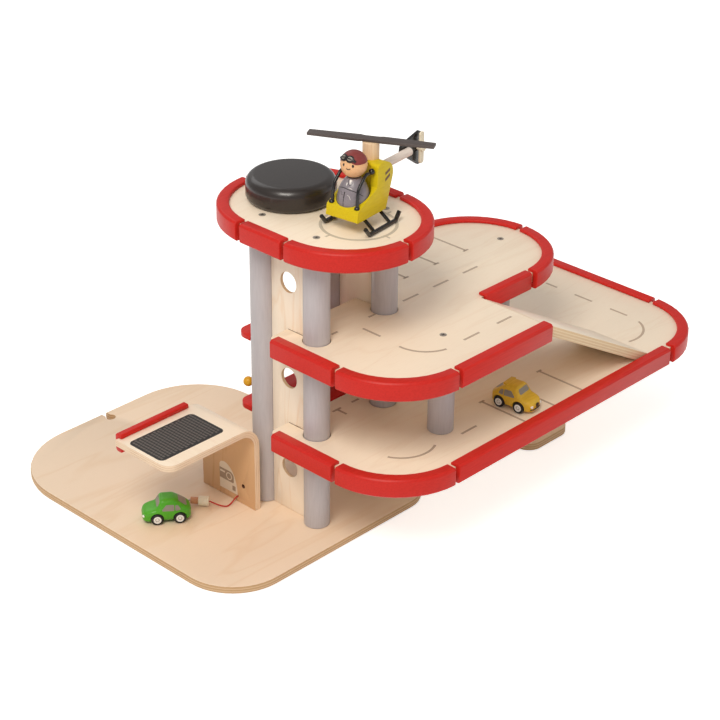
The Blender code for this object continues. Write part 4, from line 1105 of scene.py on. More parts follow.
def repeat(name: str, tree: bpy.types.NodeTree, points: bpy.types.NodeSocket, block: bpy.types.NodeSocket,
           finish: Finish, guide: bpy.types.Object | None = None) -> bpy.types.Object:
    """Set a block on each point and evaluate the tree into a plain mesh.

    Args:
        name: The result's name.
        tree: The tree.
        points: The points.
        block: The block.
        finish: The blocks' finish.
        guide: The object that the tree's own input takes, if it has one.

    Returns:
        The object at the origin.
    """
    copies = add(tree, "GeometryNodeInstanceOnPoints", {"Points": points, "Instance": block})
    real = add(tree, "GeometryNodeRealizeInstances", {"Geometry": copies.outputs["Instances"]})
    painted = add(tree, "GeometryNodeSetMaterial", {
        "Geometry": real.outputs["Geometry"], "Material": finish.material()})
    add(tree, "NodeGroupOutput", {"Geometry": painted.outputs["Geometry"]})
    item = linked(name, bpy.data.meshes.new(name))
    modifier = item.modifiers.new("repeat", "NODES")
    modifier.node_group = tree
    for socket in tree.interface.items_tree:
        if guide and getattr(socket, "socket_type", "") == "NodeSocketObject":
            modifier[socket.identifier] = guide
    return flatten(item)


@dataclass(frozen=True)
class CellGrid:
    """A staggered grid of small blocks, laid with Geometry Nodes."""

    name: str
    length: float
    width: float
    block: Vector
    columns: int = 20
    rows: int = 12
    stagger: float = 0.5

    def lay(self, finish: Finish, middle: Vector) -> bpy.types.Object:
        """Lay the blocks.

        Args:
            finish: Their finish.
            middle: The grid's middle in the world.

        Returns:
            The blocks as one mesh.
        """
        tree, given = start_tree(self.name + "_tree", {
            "Columns": ("Int", self.columns), "Rows": ("Int", self.rows), "Length": ("Float", self.length),
            "Width": ("Float", self.width), "Block": ("Vector", self.block), "Middle": ("Vector", middle),
            "Stagger": ("Float", self.stagger)})
        grid = add(tree, "GeometryNodeMeshGrid", {
            "Size X": given["Length"], "Size Y": given["Width"],
            "Vertices X": given["Columns"], "Vertices Y": given["Rows"]})
        share = calc(tree, "DIVIDE", add(tree, "GeometryNodeInputIndex").outputs[0], given["Rows"])
        odd = calc(tree, "FLOORED_MODULO", calc(tree, "FLOOR", share), 2.0)
        shift = calc(tree, "MULTIPLY", calc(tree, "DIVIDE", given["Width"], given["Rows"]), given["Stagger"])
        aside = add(tree, "ShaderNodeCombineXYZ", {1: calc(tree, "MULTIPLY", odd, shift)}).outputs[0]
        place = calc(tree, "ADD", aside, given["Middle"], kind="ShaderNodeVectorMath")
        moved = add(tree, "GeometryNodeSetPosition", {"Geometry": grid.outputs["Mesh"], "Offset": place})
        block = add(tree, "GeometryNodeMeshCube", {"Size": given["Block"]}).outputs["Mesh"]
        return repeat(self.name, tree, moved.outputs["Geometry"], block, finish)


# Prints on the decks

@dataclass
class RoadPrint:
    """The grey lane marks printed on a deck, as a list that grows."""

    level: float
    width: float = 2.8
    lift: float = 0.1
    marks: list[bpy.types.Object] = field(default_factory=list)

    def lay(self, *outlines: Sequence[Vector]) -> None:
        """Print one mark.

        Args:
            *outlines: Its edge and then any hole.
        """
        self.marks.append(prism("mark", outlines, self.level, self.level + self.lift))

    def strips(self, *ends: tuple[float, float, float, float], width: float = 0.0) -> None:
        """Print straight marks.

        Args:
            *ends: Each mark's two ends, as x, y, x and y.
            width: Their width, or 0 for the usual one.
        """
        for x, y, last_x, last_y in ends:
            first, last = Vector((x, y)), Vector((last_x, last_y))
            along = (last - first).normalized()
            half = Vector((-along.y, along.x)) * (width or self.width) / 2
            self.lay([first - half, last - half, last + half, first + half])

    def bow(self, centre: Point2, radius: float, first: float, last: float) -> None:
        """Print one curved mark.

        Args:
            centre: The arc's centre.
            radius: The arc's radius.
            first: Its first angle in degrees.
            last: Its last angle.
        """
        inner, outer = radius - self.width / 2, radius + self.width / 2
        steps = max(6, math.ceil(abs(last - first) / 4.0))
        edge = [Vector(point) for point in arc_profile(*centre, outer, first, last, steps)]
        edge += [Vector(point) for point in arc_profile(*centre, inner, last, first, steps)]
        self.lay(edge)

    def bays(self, places: Sequence[float], tick_y: float, end_y: float, half_tick: float = 4.0) -> None:
        """Print the lines of the parking bays, each with a tick across one end.

        Args:
            places: Where the lines are along X.
            tick_y: Where the ticks are.
            end_y: Where the lines end.
            half_tick: Half a tick's length.
        """
        for x in places:
            self.strips((x, tick_y, x, end_y), (x - half_tick, tick_y, x + half_tick, tick_y))

    def dress(self, name: str, finish: Finish) -> None:
        """Join the marks into one print.

        Args:
            name: The print's name.
            finish: Its ink.
        """
        dress(joined(name, self.marks), PLYWOOD, finish)


@dataclass
class Markings:
    """All the printed marks of the three decks, and the painted shade in the left panel's slots."""

    pad: Point2 = (53.0, -7.3)
    pad_radius: float = 38.7
    tick_start: float = 40.5
    tick_length: float = 5.0
    slot_x: float = -2.5

    def lower(self) -> None:
        """Print the lower deck's marks."""
        road = RoadPrint(LEVEL_LOW)
        road.strips((450.0, 59.0, 450.0, 42.0), (450.0, 15.0, 450.0, -11.0), (450.0, -38.0, 450.0, -63.0))
        road.bow((411.0, -67.5), 39.0, -22.0, -108.0)
        road.bays((175.0, 224.0, 272.0), -76.5, -138.0)
        road.bow((54.0, -69.0), 37.5, 203.0, 298.0)
        road.strips((108.0, -106.5, 132.0, -106.5), (75.0, 22.0, 86.0, 22.0), (46.0, 22.0, 58.6, 22.0),
                    (53.0, 22.0, 53.0, 8.0))
        road.dress("lower_deck_marks", ROAD_INK)

    def middle(self) -> None:
        """Print the middle deck's marks."""
        road = RoadPrint(LEVEL_MID)
        road.bays((172.0, 221.0, 270.0), 35.0, 95.0)
        lanes = ((-106.0, ((107.0, 131.0), (159.0, 182.0))),
                 (-1.5, ((20.0, 29.0), (75.0, 85.0), (128.0, 152.0), (176.0, 200.0), (224.0, 248.0))))
        for y, dashes in lanes:
            road.strips(*((first, y, last, y) for first, last in dashes))
        road.strips((52.5, -15.0, 52.5, -40.0))
        road.bow((87.0, -70.0), 37.0, 178.0, 259.0)
        road.dress("middle_deck_marks", ROAD_INK)

    def top(self) -> None:
        """Print the landing ring and its ticks."""
        road = RoadPrint(LEVEL_TOP, 3.4)
        half = road.width / 2
        road.lay(circle(*self.pad, self.pad_radius + half, 96), circle(*self.pad, self.pad_radius - half, 96))
        for angle in (-93.0, -3.0, 87.0, 177.0):
            turn = Vector((math.cos(math.radians(angle)), math.sin(math.radians(angle))))
            first = Vector(self.pad) + turn * self.tick_start
            road.strips((*first, *(first + turn * self.tick_length)), width=2.2)
        road.dress("top_deck_marks", RING_INK)

    def seams(self) -> None:
        """Paint dark strips of shade into the slots where the left panel passes the lower and the middle deck."""
        slots = []
        for level in (LEVEL_LOW, LEVEL_MID):
            # Each strip is a thin dark sheet on the deck: painted shade in the gap beside the panel.
            slot = RoadPrint(level, 0.8, 0.06)
            slot.strips((self.slot_x, 15.0, self.slot_x, 39.0))
            slots += slot.marks
        dress(joined("panel_slots", slots), PLYWOOD, HOLE_SHADE)

    def build(self) -> None:
        """Print every deck."""
        self.lower()
        self.middle()
        self.top()
        self.seams()


@dataclass
class DeckScrews:
    """The flush countersunk screws over the columns and posts."""

    head: float = 3.8
    head_height: float = 0.5
    slot_width: float = 1.0
    slot_reach: float = 2.0
    slot_turn: float = 0.5

    def build(self) -> None:
        """Place a screw head wherever a column or a post is screwed."""
        tree, given = start_tree("screw_tree", {
            "Points": ("Object", None), "Head Radius": ("Float", self.head * MM),
            "Head Height": ("Float", self.head_height * MM)})
        source = add(tree, "GeometryNodeObjectInfo", {"Object": given["Points"]})
        head = add(tree, "GeometryNodeMeshCylinder", {
            "Vertices": 28, "Radius": given["Head Radius"], "Depth": given["Head Height"]})
        places = [at(*place, LEVEL_TOP) for place in COLUMNS.values()]
        places += [at(*place, LEVEL_MID) for place in (FRONT_POST, REAR_POST)]
        mesh = bpy.data.meshes.new("screw_places")
        mesh.from_pydata(places, [], [])
        guide = linked("screw_places", mesh)
        heads = repeat("deck_screw_heads", tree, source.outputs["Geometry"], head.outputs["Mesh"], SCREW_ZINC, guide)
        bpy.data.objects.remove(guide, do_unlink=True)
        dress(heads, "zinc_steel", SCREW_ZINC)
        # Each head gets a raised dark cross: painted shade standing in for its cross recess, which is not cut.
        half, reach = self.slot_width / 2, self.slot_reach
        arm = [Vector(point) for point in ((half, reach), (half, half), (reach, half))]
        cross = [Matrix.Rotation(-quarter * math.pi / 2, 2) @ point for quarter in range(4) for point in arm]
        slots = []
        for place in places:
            local = Matrix.Translation(place) @ Matrix.Scale(MM, 4) @ Matrix.Rotation(self.slot_turn, 4, "Z")
            slots.append(prism("screw_slot", [cross], 0.2, 0.32, local))
        dress(joined("deck_screw_slots", slots), "zinc_steel", DARK_PRINT_AND_SHADE)


# Lift and winding wheel

@dataclass
class Lift:
    """The lift car, its knob and the cord that lifts it."""

    post_x: float = 10.0
    post_y: float = 97.0
    post_radius: float = 4.0
    height: float = 85.5
    knob_radius: float = 5.5
    knob_neck: float = 2.0
    knob_heading: float = 138.4
    knob_reach: float = 12.0
    knob_rise: float = 22.7
    cord_radius: float = 0.6
    cord_x: float = 64.9
    cord_y: float = 58.0
    cord_steps: int = 24
    cord_sides: int = 10
    eye_z: float = LEVEL_TOP - PLY - 10.5

    def knob(self) -> None:
        """Turn the knob on its neck, out of the lift's post."""
        place = Matrix.Translation((self.post_x, self.post_y, LEVEL_LOW + self.knob_rise))
        place = TOWER @ place @ Matrix.Rotation(math.radians(self.knob_heading), 4, "Z")
        start = self.post_radius + GAP
        neck = math.degrees(math.acos(self.knob_neck / self.knob_radius))
        profile = [(0.0, start), (self.knob_neck, start)]
        profile += arc_profile(0.0, self.knob_reach, self.knob_radius, -neck, 90.0, 14)
        profile[-1] = (0.0, self.knob_reach + self.knob_radius)
        knob = lathe("lift_knob_painted", profile, place @ Matrix.Rotation(math.pi / 2, 4, "Y"), 40)
        dress(knob, "yellow_painted_wood", KNOB_PAINT, node="lift_knob", body=Body.LIFT.value)

    def cord(self) -> None:
        """Hang the cord from its eye down to the lift's roof."""
        low, high = LEVEL_LOW + self.height + GAP, self.eye_z - GAP
        round_cord = circle(self.cord_x, self.cord_y, self.cord_radius, self.cord_sides)
        heights = [low + (high - low) * step / self.cord_steps for step in range(self.cord_steps + 1)]
        cord = skin("lift_cord_braided", [[(*point, z) for point in round_cord] for z in heights], caps=(-1, 0))
        cord.data.materials.append(WHITE_CORD.material())
        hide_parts("lift_cord")
        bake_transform(cord)
        LOG.info("dressed %s", cord.name)

    def build(self) -> None:
        """Make the lift."""
        for node in ("lift_floor", "lift_roof"):
            dress_copy(node, "_painted", 0.5, "red_painted_wood", RED_PAINT, body=Body.LIFT.value)
        self.knob()
        self.cord()
        dress_copy("cord_lead", "_fine", 0.05, "white_string", WHITE_CORD, 1)
        dress_copy("cord_guide", "_fine", 0.05, "zinc_steel", ZINC, 1)


@dataclass
class WindingWheel:
    """The black wheel on the top deck and its spindle."""

    x: float = 52.0
    y: float = 89.1
    radius: float = 47.5
    thickness: float = 26.2
    lift: float = 0.5
    top_round: float = 10.0
    foot_round: float = 6.0
    bore: float = 4.3
    bore_depth: float = 14.0

    def build(self) -> None:
        """Make the wheel."""
        low, high = self.lift, self.lift + self.thickness
        profile = [(0.0, low + self.bore_depth), (self.bore, low + self.bore_depth), (self.bore, low)]
        profile += arc_profile(self.radius - self.foot_round, low + self.foot_round, self.foot_round, -90.0, 0.0)
        inner = self.radius - self.top_round
        profile += arc_profile(inner, high - self.top_round, self.top_round, 0.0, 90.0, 12)
        profile.append((0.0, high))
        wheel = lathe("winding_wheel_painted", profile, stand(self.x, self.y, LEVEL_TOP, 0.0), 96)
        dress(wheel, "black_painted_wood", BLACK_PAINT, node="winding_wheel", body=Body.WHEEL.value)
        dress_copy("wheel_spindle", "_turned", 0.3, "natural_wood", NATURAL_WOOD, body=Body.WHEEL.value)


# Charging cord and plug

@dataclass
class ChargingPlug:
    """The red cord out of the canopy's wall and the turned plug on its end."""

    x: float = -58.8
    y: float = 106.5
    radius: float = 5.5
    length: float = 11.5
    ease: float = 0.7
    nose_radius: float = 3.8
    nose_length: float = 8.7
    nose_ease: float = 0.5
    tip_radius: float = 1.2
    tip_length: float = 2.4
    tip_ease: float = 0.4
    heading: float = 129.3
    cord_radius: float = 0.75
    wall: float = -31.0
    hole: Point2 = (90.9, 6.6)

    def route(self) -> list[Vector]:
        """Give the cord's route, as the part's source has it.

        Returns:
            The points in millimetres.
        """
        floor = self.cord_radius + GAP
        turn = math.radians(self.heading)
        stations = [
            (self.wall + 3.75, self.hole[0], self.hole[1]),
            (self.wall - 1.5, self.hole[0] + 0.4, self.hole[1] - 0.5),
            (-36.5, 92.0, 3.0),
            (-42.0, 91.2, floor),
            (-47.6, 91.0, floor),
            (-51.2, 95.4, floor + 0.4),
            (-54.6, 100.9, 3.0),
            (self.x - GAP * math.cos(turn), self.y - GAP * math.sin(turn), self.radius + GAP),
        ]
        return smooth_route(stations, 2.4)

    def plug(self) -> bpy.types.Object:
        """Turn the plug: its sleeve, nose and metal tip.

        Returns:
            The plug.
        """
        place = stand(self.x, self.y, self.radius + GAP, self.heading) @ Matrix.Rotation(math.pi / 2, 4, "Y")
        nose_end = self.length + self.nose_length
        tip_end = nose_end + self.tip_length
        rim, nose_rim = self.radius - self.ease, self.nose_radius - self.nose_ease
        sleeve = [(0.0, 0.0), (self.cord_radius + 0.4, 0.0)]
        sleeve += arc_profile(rim, self.ease, self.ease, -90.0, 0.0, 4)
        sleeve += arc_profile(rim, self.length - self.ease, self.ease, 0.0, 90.0, 4)
        nose = [(self.nose_radius, self.length)]
        nose += arc_profile(nose_rim, nose_end - self.nose_ease, self.nose_ease, 0.0, 90.0, 3)
        tip = [(self.tip_radius, nose_end), (self.tip_radius, tip_end - self.tip_ease),
               (self.tip_radius - self.tip_ease, tip_end), (0.0, tip_end)]
        slots = [0] * (len(sleeve) - 1) + [1] * len(nose) + [2] * len(tip)
        item = lathe("charge_plug_turned", sleeve + nose + tip, place, 40, slots)
        return dress(item, "cream_wood", CREAM_WOOD, PLUG_WOOD, ZINC, node="charge_plug")

    def build(self) -> None:
        """Make the plug and the cord."""
        plug = self.plug()
        route = [at(*point) for point in self.route()]
        cord = curved("charge_cord_twisted", [route], dimensions="3D", bevel_depth=self.cord_radius * MM,
                      bevel_resolution=3, use_fill_caps=True)
        dress(cord, "red_cord", RED_CORD, node="charge_cord")


# Toy cars

@dataclass
class ToyCar:
    """A small painted wooden car with printed windows."""

    name: str
    slot: str
    paint: WoodPaint
    place: Matrix
    trim: bool
    nose: float = 28.5
    tail: float = 25.5
    half_width: float = 13.4
    height: float = 28.5
    floor: float = 3.0
    waist: float = 15.0
    wheel_radius: float = 6.5
    half_base: float = 12.1
    track: float = 14.0
    wheel_width: float = 5.0
    rim: float = 3.9
    arch_start: float = 8.1
    arch_air: float = 0.9
    axle_bore: float = 1.7
    side_windows: tuple[tuple[str, tuple[Point2, ...]], ...] = (
        ("front", ((8.0, 16.8), (2.0, 23.2), (-6.3, 23.0), (-6.3, 16.2))),
        ("rear", ((-7.4, 16.2), (-7.4, 22.8), (-10.8, 21.8), (-13.8, 17.0))))
    end_windows: tuple[tuple[str, float, float, float, float], ...] = (
        ("screen", 1.0, 20.0, 25.6, 9.2), ("back", -1.0, 18.5, 24.6, 8.0))
    bumper: tuple[Point2, ...] = (
        (25.2, -9.6), (27.0, -6.4), (27.7, -3.0), (27.8, 0.0), (27.7, 3.0), (27.0, 6.4), (25.2, 9.6))
    bumper_z: float = 6.6

    def outline(self) -> list[Vector]:
        """Give the body's side view, as the part's source has it.

        Returns:
            The outline's points.
        """
        tall, nose, tail = self.height, self.nose, self.tail
        corners = [(-0.96 * tail, self.floor, 3.0), (0.95 * nose, self.floor, 3.0), (nose, 0.5 * tall, 0.24 * tall),
                   (0.44 * nose, 0.66 * tall, 0.14 * tall), (0.25 * nose, tall, 0.14 * tall),
                   (-0.24 * tail, tall, 0.32 * tall), (-tail, 0.52 * tall, 0.25 * tall)]
        return rounded(corners, 6.0)

    def limits(self, outline: Sequence[Vector], x: float) -> Point2:
        """Find where the side view starts and ends over a station.

        Args:
            outline: The side view.
            x: Millimetres ahead of the axles' middle.

        Returns:
            The lowest and the highest point there.
        """
        heights = []
        for start, stop in zip(outline, [*outline[1:], outline[0]]):
            if min(start.x, stop.x) <= x <= max(start.x, stop.x) and start.x != stop.x:
                share = (x - start.x) / (stop.x - start.x)
                heights.append(start.y + (stop.y - start.y) * share)
        return min(heights), max(heights)

    def hub(self, x: float, y: float = 0.0) -> Matrix:
        """Give the matrix of a place on an axle.

        Args:
            x: Millimetres ahead of the axles' middle.
            y: Millimetres to the left.

        Returns:
            The matrix, still upright.
        """
        return self.place @ Matrix.Translation((x, y, self.wheel_radius + GAP))

    def shell(self) -> bpy.types.Object:
        """Loft the body and cut its wheel arches and axle bores.

        Returns:
            The body.
        """
        stations, sides = 84, 56
        outline = self.outline()
        rear, front = min(point.x for point in outline), max(point.x for point in outline)
        middle, half = (front + rear) / 2, (front - rear) / 2 - 0.02
        turns = [(math.cos(2 * math.pi * side / sides), math.sin(2 * math.pi * side / sides)) for side in range(sides)]
        swells = [(math.copysign(abs(c) ** 0.42, c), math.copysign(abs(s) ** 0.46, s)) for c, s in turns]
        rings = []
        for step in range(stations + 1):
            share = -math.cos(math.pi * step / stations)
            x = middle + half * share
            bottom, top = self.limits(outline, x)
            width = self.half_width * max(0.02, 1.0 - abs(share) ** 5) ** 0.34
            ring = []
            for across, rise in swells:
                z = (top + bottom) / 2 + (top - bottom) / 2 * rise
                taper = max(0.0, z - self.waist) / (self.height - self.waist)
                ring.append((x, width * across * (1.0 - 0.2 * taper), z))
            rings.append(ring)
        item = skin(self.name + "_body_painted", rings, self.place, 60.0, caps=(0, -1))
        for end in (self.half_base, -self.half_base):
            for flank in (1.0, -1.0):
                arch = self.hub(end, flank * self.arch_start) @ Matrix.Rotation(-flank * math.pi / 2, 4, "X")
                item = carve(item, lathe("arch", drum(self.wheel_radius + self.arch_air, 0.0, 8.0, 0.1), arch, 48))
            bore = lathe("axle_bore", drum(self.axle_bore, -9.5, 9.5, 0.05), self.hub(end) @ ON_EDGE, 32)
            item = carve(item, bore)
        return item

    def flat_print(self, part: str, outline: Sequence[Vector], look: Matrix, reach: float,
                   shell: bpy.types.Object, lift: float = 0.12) -> bpy.types.Object:
        """Lay a print on the curved body: a thin patch projected onto it.

        Args:
            part: What the print's name ends in.
            outline: Its outline in the look's plane.
            look: The matrix of the plane, whose Z points out of the body.
            reach: How far off the plane the patch starts.
            shell: The body that it is laid on.
            lift: Its height over the paint.

        Returns:
            The print.
        """
        name = f"{self.name}_window_{part}"
        patch = prism(name, [outline], reach, reach + 0.01, look)
        body = bmesh.new()
        body.from_mesh(patch.data)
        bpy.data.objects.remove(patch, do_unlink=True)
        out = (look.to_3x3() @ UP).normalized()
        unseen = [face for face in body.faces if face.normal.dot(out) <= 0.9]
        bmesh.ops.delete(body, geom=unseen, context="FACES")
        bmesh.ops.triangulate(body, faces=body.faces)
        for _ in range(3):
            bmesh.ops.subdivide_edges(body, edges=body.edges, cuts=1, use_grid_fill=True)
        bpy.context.view_layer.update()
        for vert in body.verts:
            hit, place, normal, _ = shell.ray_cast(vert.co, -out, distance=30.0 * MM)
            if hit:
                vert.co = place + normal * lift * MM
        return thickened(finish_mesh(name, body, None, 80.0), 2.0 * lift)

    def windows(self, shell: bpy.types.Object) -> list[bpy.types.Object]:
        """Print the side windows, the windscreen and the rear window.

        Args:
            shell: The body.

        Returns:
            The prints.
        """
        prints = []
        for flank in (1.0, -1.0):
            look = self.place @ Matrix.Rotation(-flank * math.pi / 2, 4, "X")
            for part, corners in self.side_windows:
                outline = rounded([(x, -flank * z, 1.1) for x, z in corners], 25.0)
                prints.append(self.flat_print(part, outline, look, 16.0, shell))
        for part, facing, low, high, half in self.end_windows:
            look = self.place @ Matrix.Rotation(facing * math.pi / 2, 4, "Z") @ ON_EDGE
            outline = rounded([(-half, low, 1.6), (half, low, 1.6), (half * 0.86, high, 2.0),
                               (-half * 0.86, high, 2.0)], 25.0)
            prints.append(self.flat_print(part, outline, look, 30.0, shell))
        return prints

    def fit(self, part: bpy.types.Object, finish: Finish, node: str = "") -> None:
        """Dress a part that moves with the car.

        Args:
            part: The part.
            finish: Its finish.
            node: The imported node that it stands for.
        """
        dress(part, self.slot, finish, node=node, body=self.name)

    def lamps(self) -> None:
        """Add the headlamps and, where the car has them, its bumper, grille and rear lip."""
        spots = [self.place @ Matrix.Translation((26.4, y, 9.8)) @ Matrix.Rotation(math.pi / 2, 4, "Y")
                 for y in (-8.0, 8.0)]
        profile = [(0.0, -1.5), (1.6, -1.5), (1.6, 0.5), (1.2, 1.0), (0.0, 1.2)]
        self.fit(joined(self.name + "_lamps", [lathe("lamp", profile, spot, 20) for spot in spots]), WHITE_INK)
        if self.trim:
            route = [(x, y, self.bumper_z) for x, y in self.bumper]
            self.fit(pipe(self.name + "_bumper", route, 0.7, self.place), DARK_PRINT_AND_SHADE)
            mouth = rounded([(-2.6, 8.6, 0.8), (2.6, 8.6, 0.8), (2.2, 12.6, 1.2), (-2.2, 12.6, 1.2)])
            ahead = self.place @ Matrix.Rotation(math.pi / 2, 4, "Z") @ ON_EDGE
            self.fit(prism(self.name + "_grille", [mouth], 27.6, 28.5, ahead), DARK_PRINT_AND_SHADE)
            lip = rounded([(-10.6, -8.4, 1.0), (-5.0, -9.2, 0.5), (-5.0, 9.2, 0.5), (-10.6, 8.4, 1.0)])
            self.fit(eased(prism(self.name + "_lip", [lip], 26.6, 28.4, self.place), 0.6), self.paint)

    def wheels(self, end: str, x: float) -> None:
        """Turn one axle with its two wheels.

        Args:
            end: Front or rear.
            x: The axle's place.
        """
        inner, outer, radius, rim = self.track - self.wheel_width, self.track, self.wheel_radius, self.rim
        side = [(1.3, inner), (radius - 0.9, inner), *arc_profile(radius - 0.9, inner + 0.9, 0.9, -90.0, 0.0, 4)[1:],
                *arc_profile(radius - 1.0, outer - 1.0, 1.0, 0.0, 90.0, 4), (rim + 0.3, outer),
                (rim, outer - 0.4), (rim - 0.5, outer - 0.1), (2.3, outer - 0.1), (2.1, outer - 0.5),
                (1.5, outer - 0.5), (1.3, outer), (0.0, outer)]
        marks = [0] * (len(side) - 8) + [1, 1, 1, 2, 2, 1, 1]
        profile = [(r, -z) for r, z in reversed(side)] + side
        slots = list(reversed(marks)) + [3] + marks
        item = lathe(f"{self.name}_{end}_wheels_fine", profile, self.hub(x) @ ON_EDGE, 48, slots)
        dress(item, "black_tyre", TYRE, HUB, HUB_RING, ZINC, node=f"{self.name}_{end}_wheels",
              body=f"{self.name.split('_')[0]}_{end}_axle")

    def build(self) -> None:
        """Make the car."""
        shell = self.shell()
        self.fit(shell, self.paint, self.name + "_body")
        self.fit(joined(self.name + "_windows", self.windows(shell)), WINDOW_INK)
        self.lamps()
        self.wheels("front", self.half_base)
        self.wheels("rear", -self.half_base)


# Helicopter and pilot

@dataclass
class Helicopter:
    """The yellow helicopter with its rotors, tail and skids."""

    x: float = 72.4
    y: float = -4.6
    heading: float = 187.5
    half_width: float = 19.5
    belly: float = 15.5
    roof: float = 66.5
    nose_top: float = 27.7
    seat_x: float = 28.5
    seat_radius: float = 17.5
    seat_floor: float = 20.0
    mast_radius: float = 8.6
    mast_top: float = 84.0
    boom_radius: float = 4.5
    boom_z: float = 50.5
    boom_end: float = -68.0
    fin_length: float = 40.0
    fin_height: float = 38.0
    fin_shape: tuple[Point2, ...] = (
        (0.725, 0.29), (0.54, 0.395), (0.0, 0.276), (-0.26, 0.184), (-0.29, -0.013), (0.02, -0.237),
        (0.475, -0.571), (0.7, -0.592), (0.64, -0.145))
    bar_route: tuple[tuple[float, float, float], ...] = (
        (0.0, 1.03, 0.98), (0.34, 1.06, 0.84), (0.74, 1.07, 0.56), (0.87, 1.12, -0.07))
    slot: str = "heli_yellow"

    @property
    def place(self) -> Matrix:
        """The helicopter's matrix."""
        return stand(self.x, self.y, LEVEL_TOP, self.heading)

    def shell(self) -> None:
        """Cut the body from its outline and bore its seat."""
        corners = [(0.0, self.belly, 1.4), (49.0, self.belly, 1.4), (47.04, self.nose_top, 1.4),
                   (15.5, 43.0, 1.0), (13.64, self.roof, 3.9), (-17.0, self.roof, 14.0)]
        upright = self.place @ ON_EDGE
        item = prism("helicopter_body_painted", [rounded(corners)], -self.half_width, self.half_width, upright)
        seat = lathe("seat", drum(self.seat_radius, self.seat_floor, 90.0, 0.1),
                     self.place @ Matrix.Translation((self.seat_x, 0.0, 0.0)), 64)
        item = eased(carve(item, seat), 1.1, 3, 35.0)
        dress_flyer(item, self.slot, HELI_YELLOW, node="helicopter_body")
        stripes = []
        for flank in (1.0, -1.0):
            for low_z, high_z in ((52.0, 55.0), (45.4, 49.2)):
                front, rear = Vector((1.6, low_z)), Vector((-6.2, high_z))
                outline = [front, front + Vector((0.4, 3.2)), rear + Vector((0.4, 3.2)), rear]
                level = flank * self.half_width
                inner, outer = sorted((-level, -level - flank * 0.1))
                stripes.append(prism("stripe", [outline], inner, outer, upright))
        dress_flyer(joined("helicopter_stripes", stripes), self.slot, STRIPE_INK)

    def bars(self) -> None:
        """Bend the two roll bars, each from a ball on the block to the tub's rim."""
        radius, ball, ball_x, ball_z = 1.75, 3.2, 17.42, 60.0
        turns = [math.pi * step / 12 for step in range(1, 12)]
        tall = ball_z - self.nose_top
        foot = [(0.0, -1.0), (3.0, -1.0), (3.0, 0.9), (2.2, 2.2), (0.0, 3.4)]
        made = []
        for y in (14.0, -14.0):
            stations = [(ball_x + ball, y, ball_z)]
            stations += [(self.seat_x + self.seat_radius * ahead, y * spread, self.nose_top + tall * rise)
                         for ahead, spread, rise in self.bar_route]
            route = smooth_route(stations, 2.0)
            start = [Vector((ball_x - ball * math.cos(turn), y, ball_z)) for turn in turns]
            shares = [ball / radius * math.sin(turn) for turn in turns] + [1.0] * (len(route) - 1)
            made.append(pipe("bar", start + route[1:], radius, self.place, shares, 6))
            end = Matrix.Translation((stations[-1][0], y * self.bar_route[-1][1], self.nose_top + 1.3))
            made.append(lathe("bar_foot", foot, self.place @ end @ Matrix.Rotation(-0.383, 4, "Y"), 28))
        dress_flyer(joined("helicopter_roll_bars", made), "black_plastic", BLACK_PLASTIC)

    def rotor(self) -> None:
        """Turn the mast and dress the rotor."""
        low = self.roof - 6.7
        mast = lathe("rotor_mast_turned", drum(self.mast_radius, low, self.mast_top, 0.8), self.place)
        dress_flyer(mast, "natural_wood", NATURAL_WOOD, node="rotor_mast")
        dress_copy("main_rotor", "_lacquered", 0.6, "black_plastic", ROTOR_BLACK, body=Body.MAIN_ROTOR.value)

    def tail(self) -> None:
        """Turn the boom and shape the fin and the tail rotor."""
        turn = Matrix.Translation((0.0, 0.0, self.boom_z)) @ Matrix.Rotation(-math.pi / 2, 4, "Y")
        boom = lathe("tail_boom_turned", drum(self.boom_radius, 1.3, -self.boom_end, 1.0), self.place @ turn, 40)
        dress_flyer(boom, "natural_wood", PALE_WOOD, node="tail_boom")
        corners = [(self.boom_end - self.fin_length * back, self.boom_z + self.fin_height * rise, 2.0)
                   for back, rise in self.fin_shape]
        bore = circle(self.boom_end - 20.0, self.boom_z - 2.0, 1.85, 24)
        fin = prism("tail_fin_black", [rounded(corners), bore], 3.2, 6.2, self.place @ ON_EDGE)
        dress_flyer(eased(fin, 0.5), "black_plastic", BLACK_PLASTIC)
        dress_copy("tail_rotor", "_painted", 0.4, "cream_wood", CREAM_WOOD, body=Body.TAIL_ROTOR.value)

    def build(self) -> None:
        """Make the helicopter."""
        self.shell()
        self.bars()
        self.rotor()
        self.tail()
        dress_copy("skids", "_moulded", 0.2, "black_plastic", BLACK_PLASTIC, 1, Body.HELICOPTER.value)


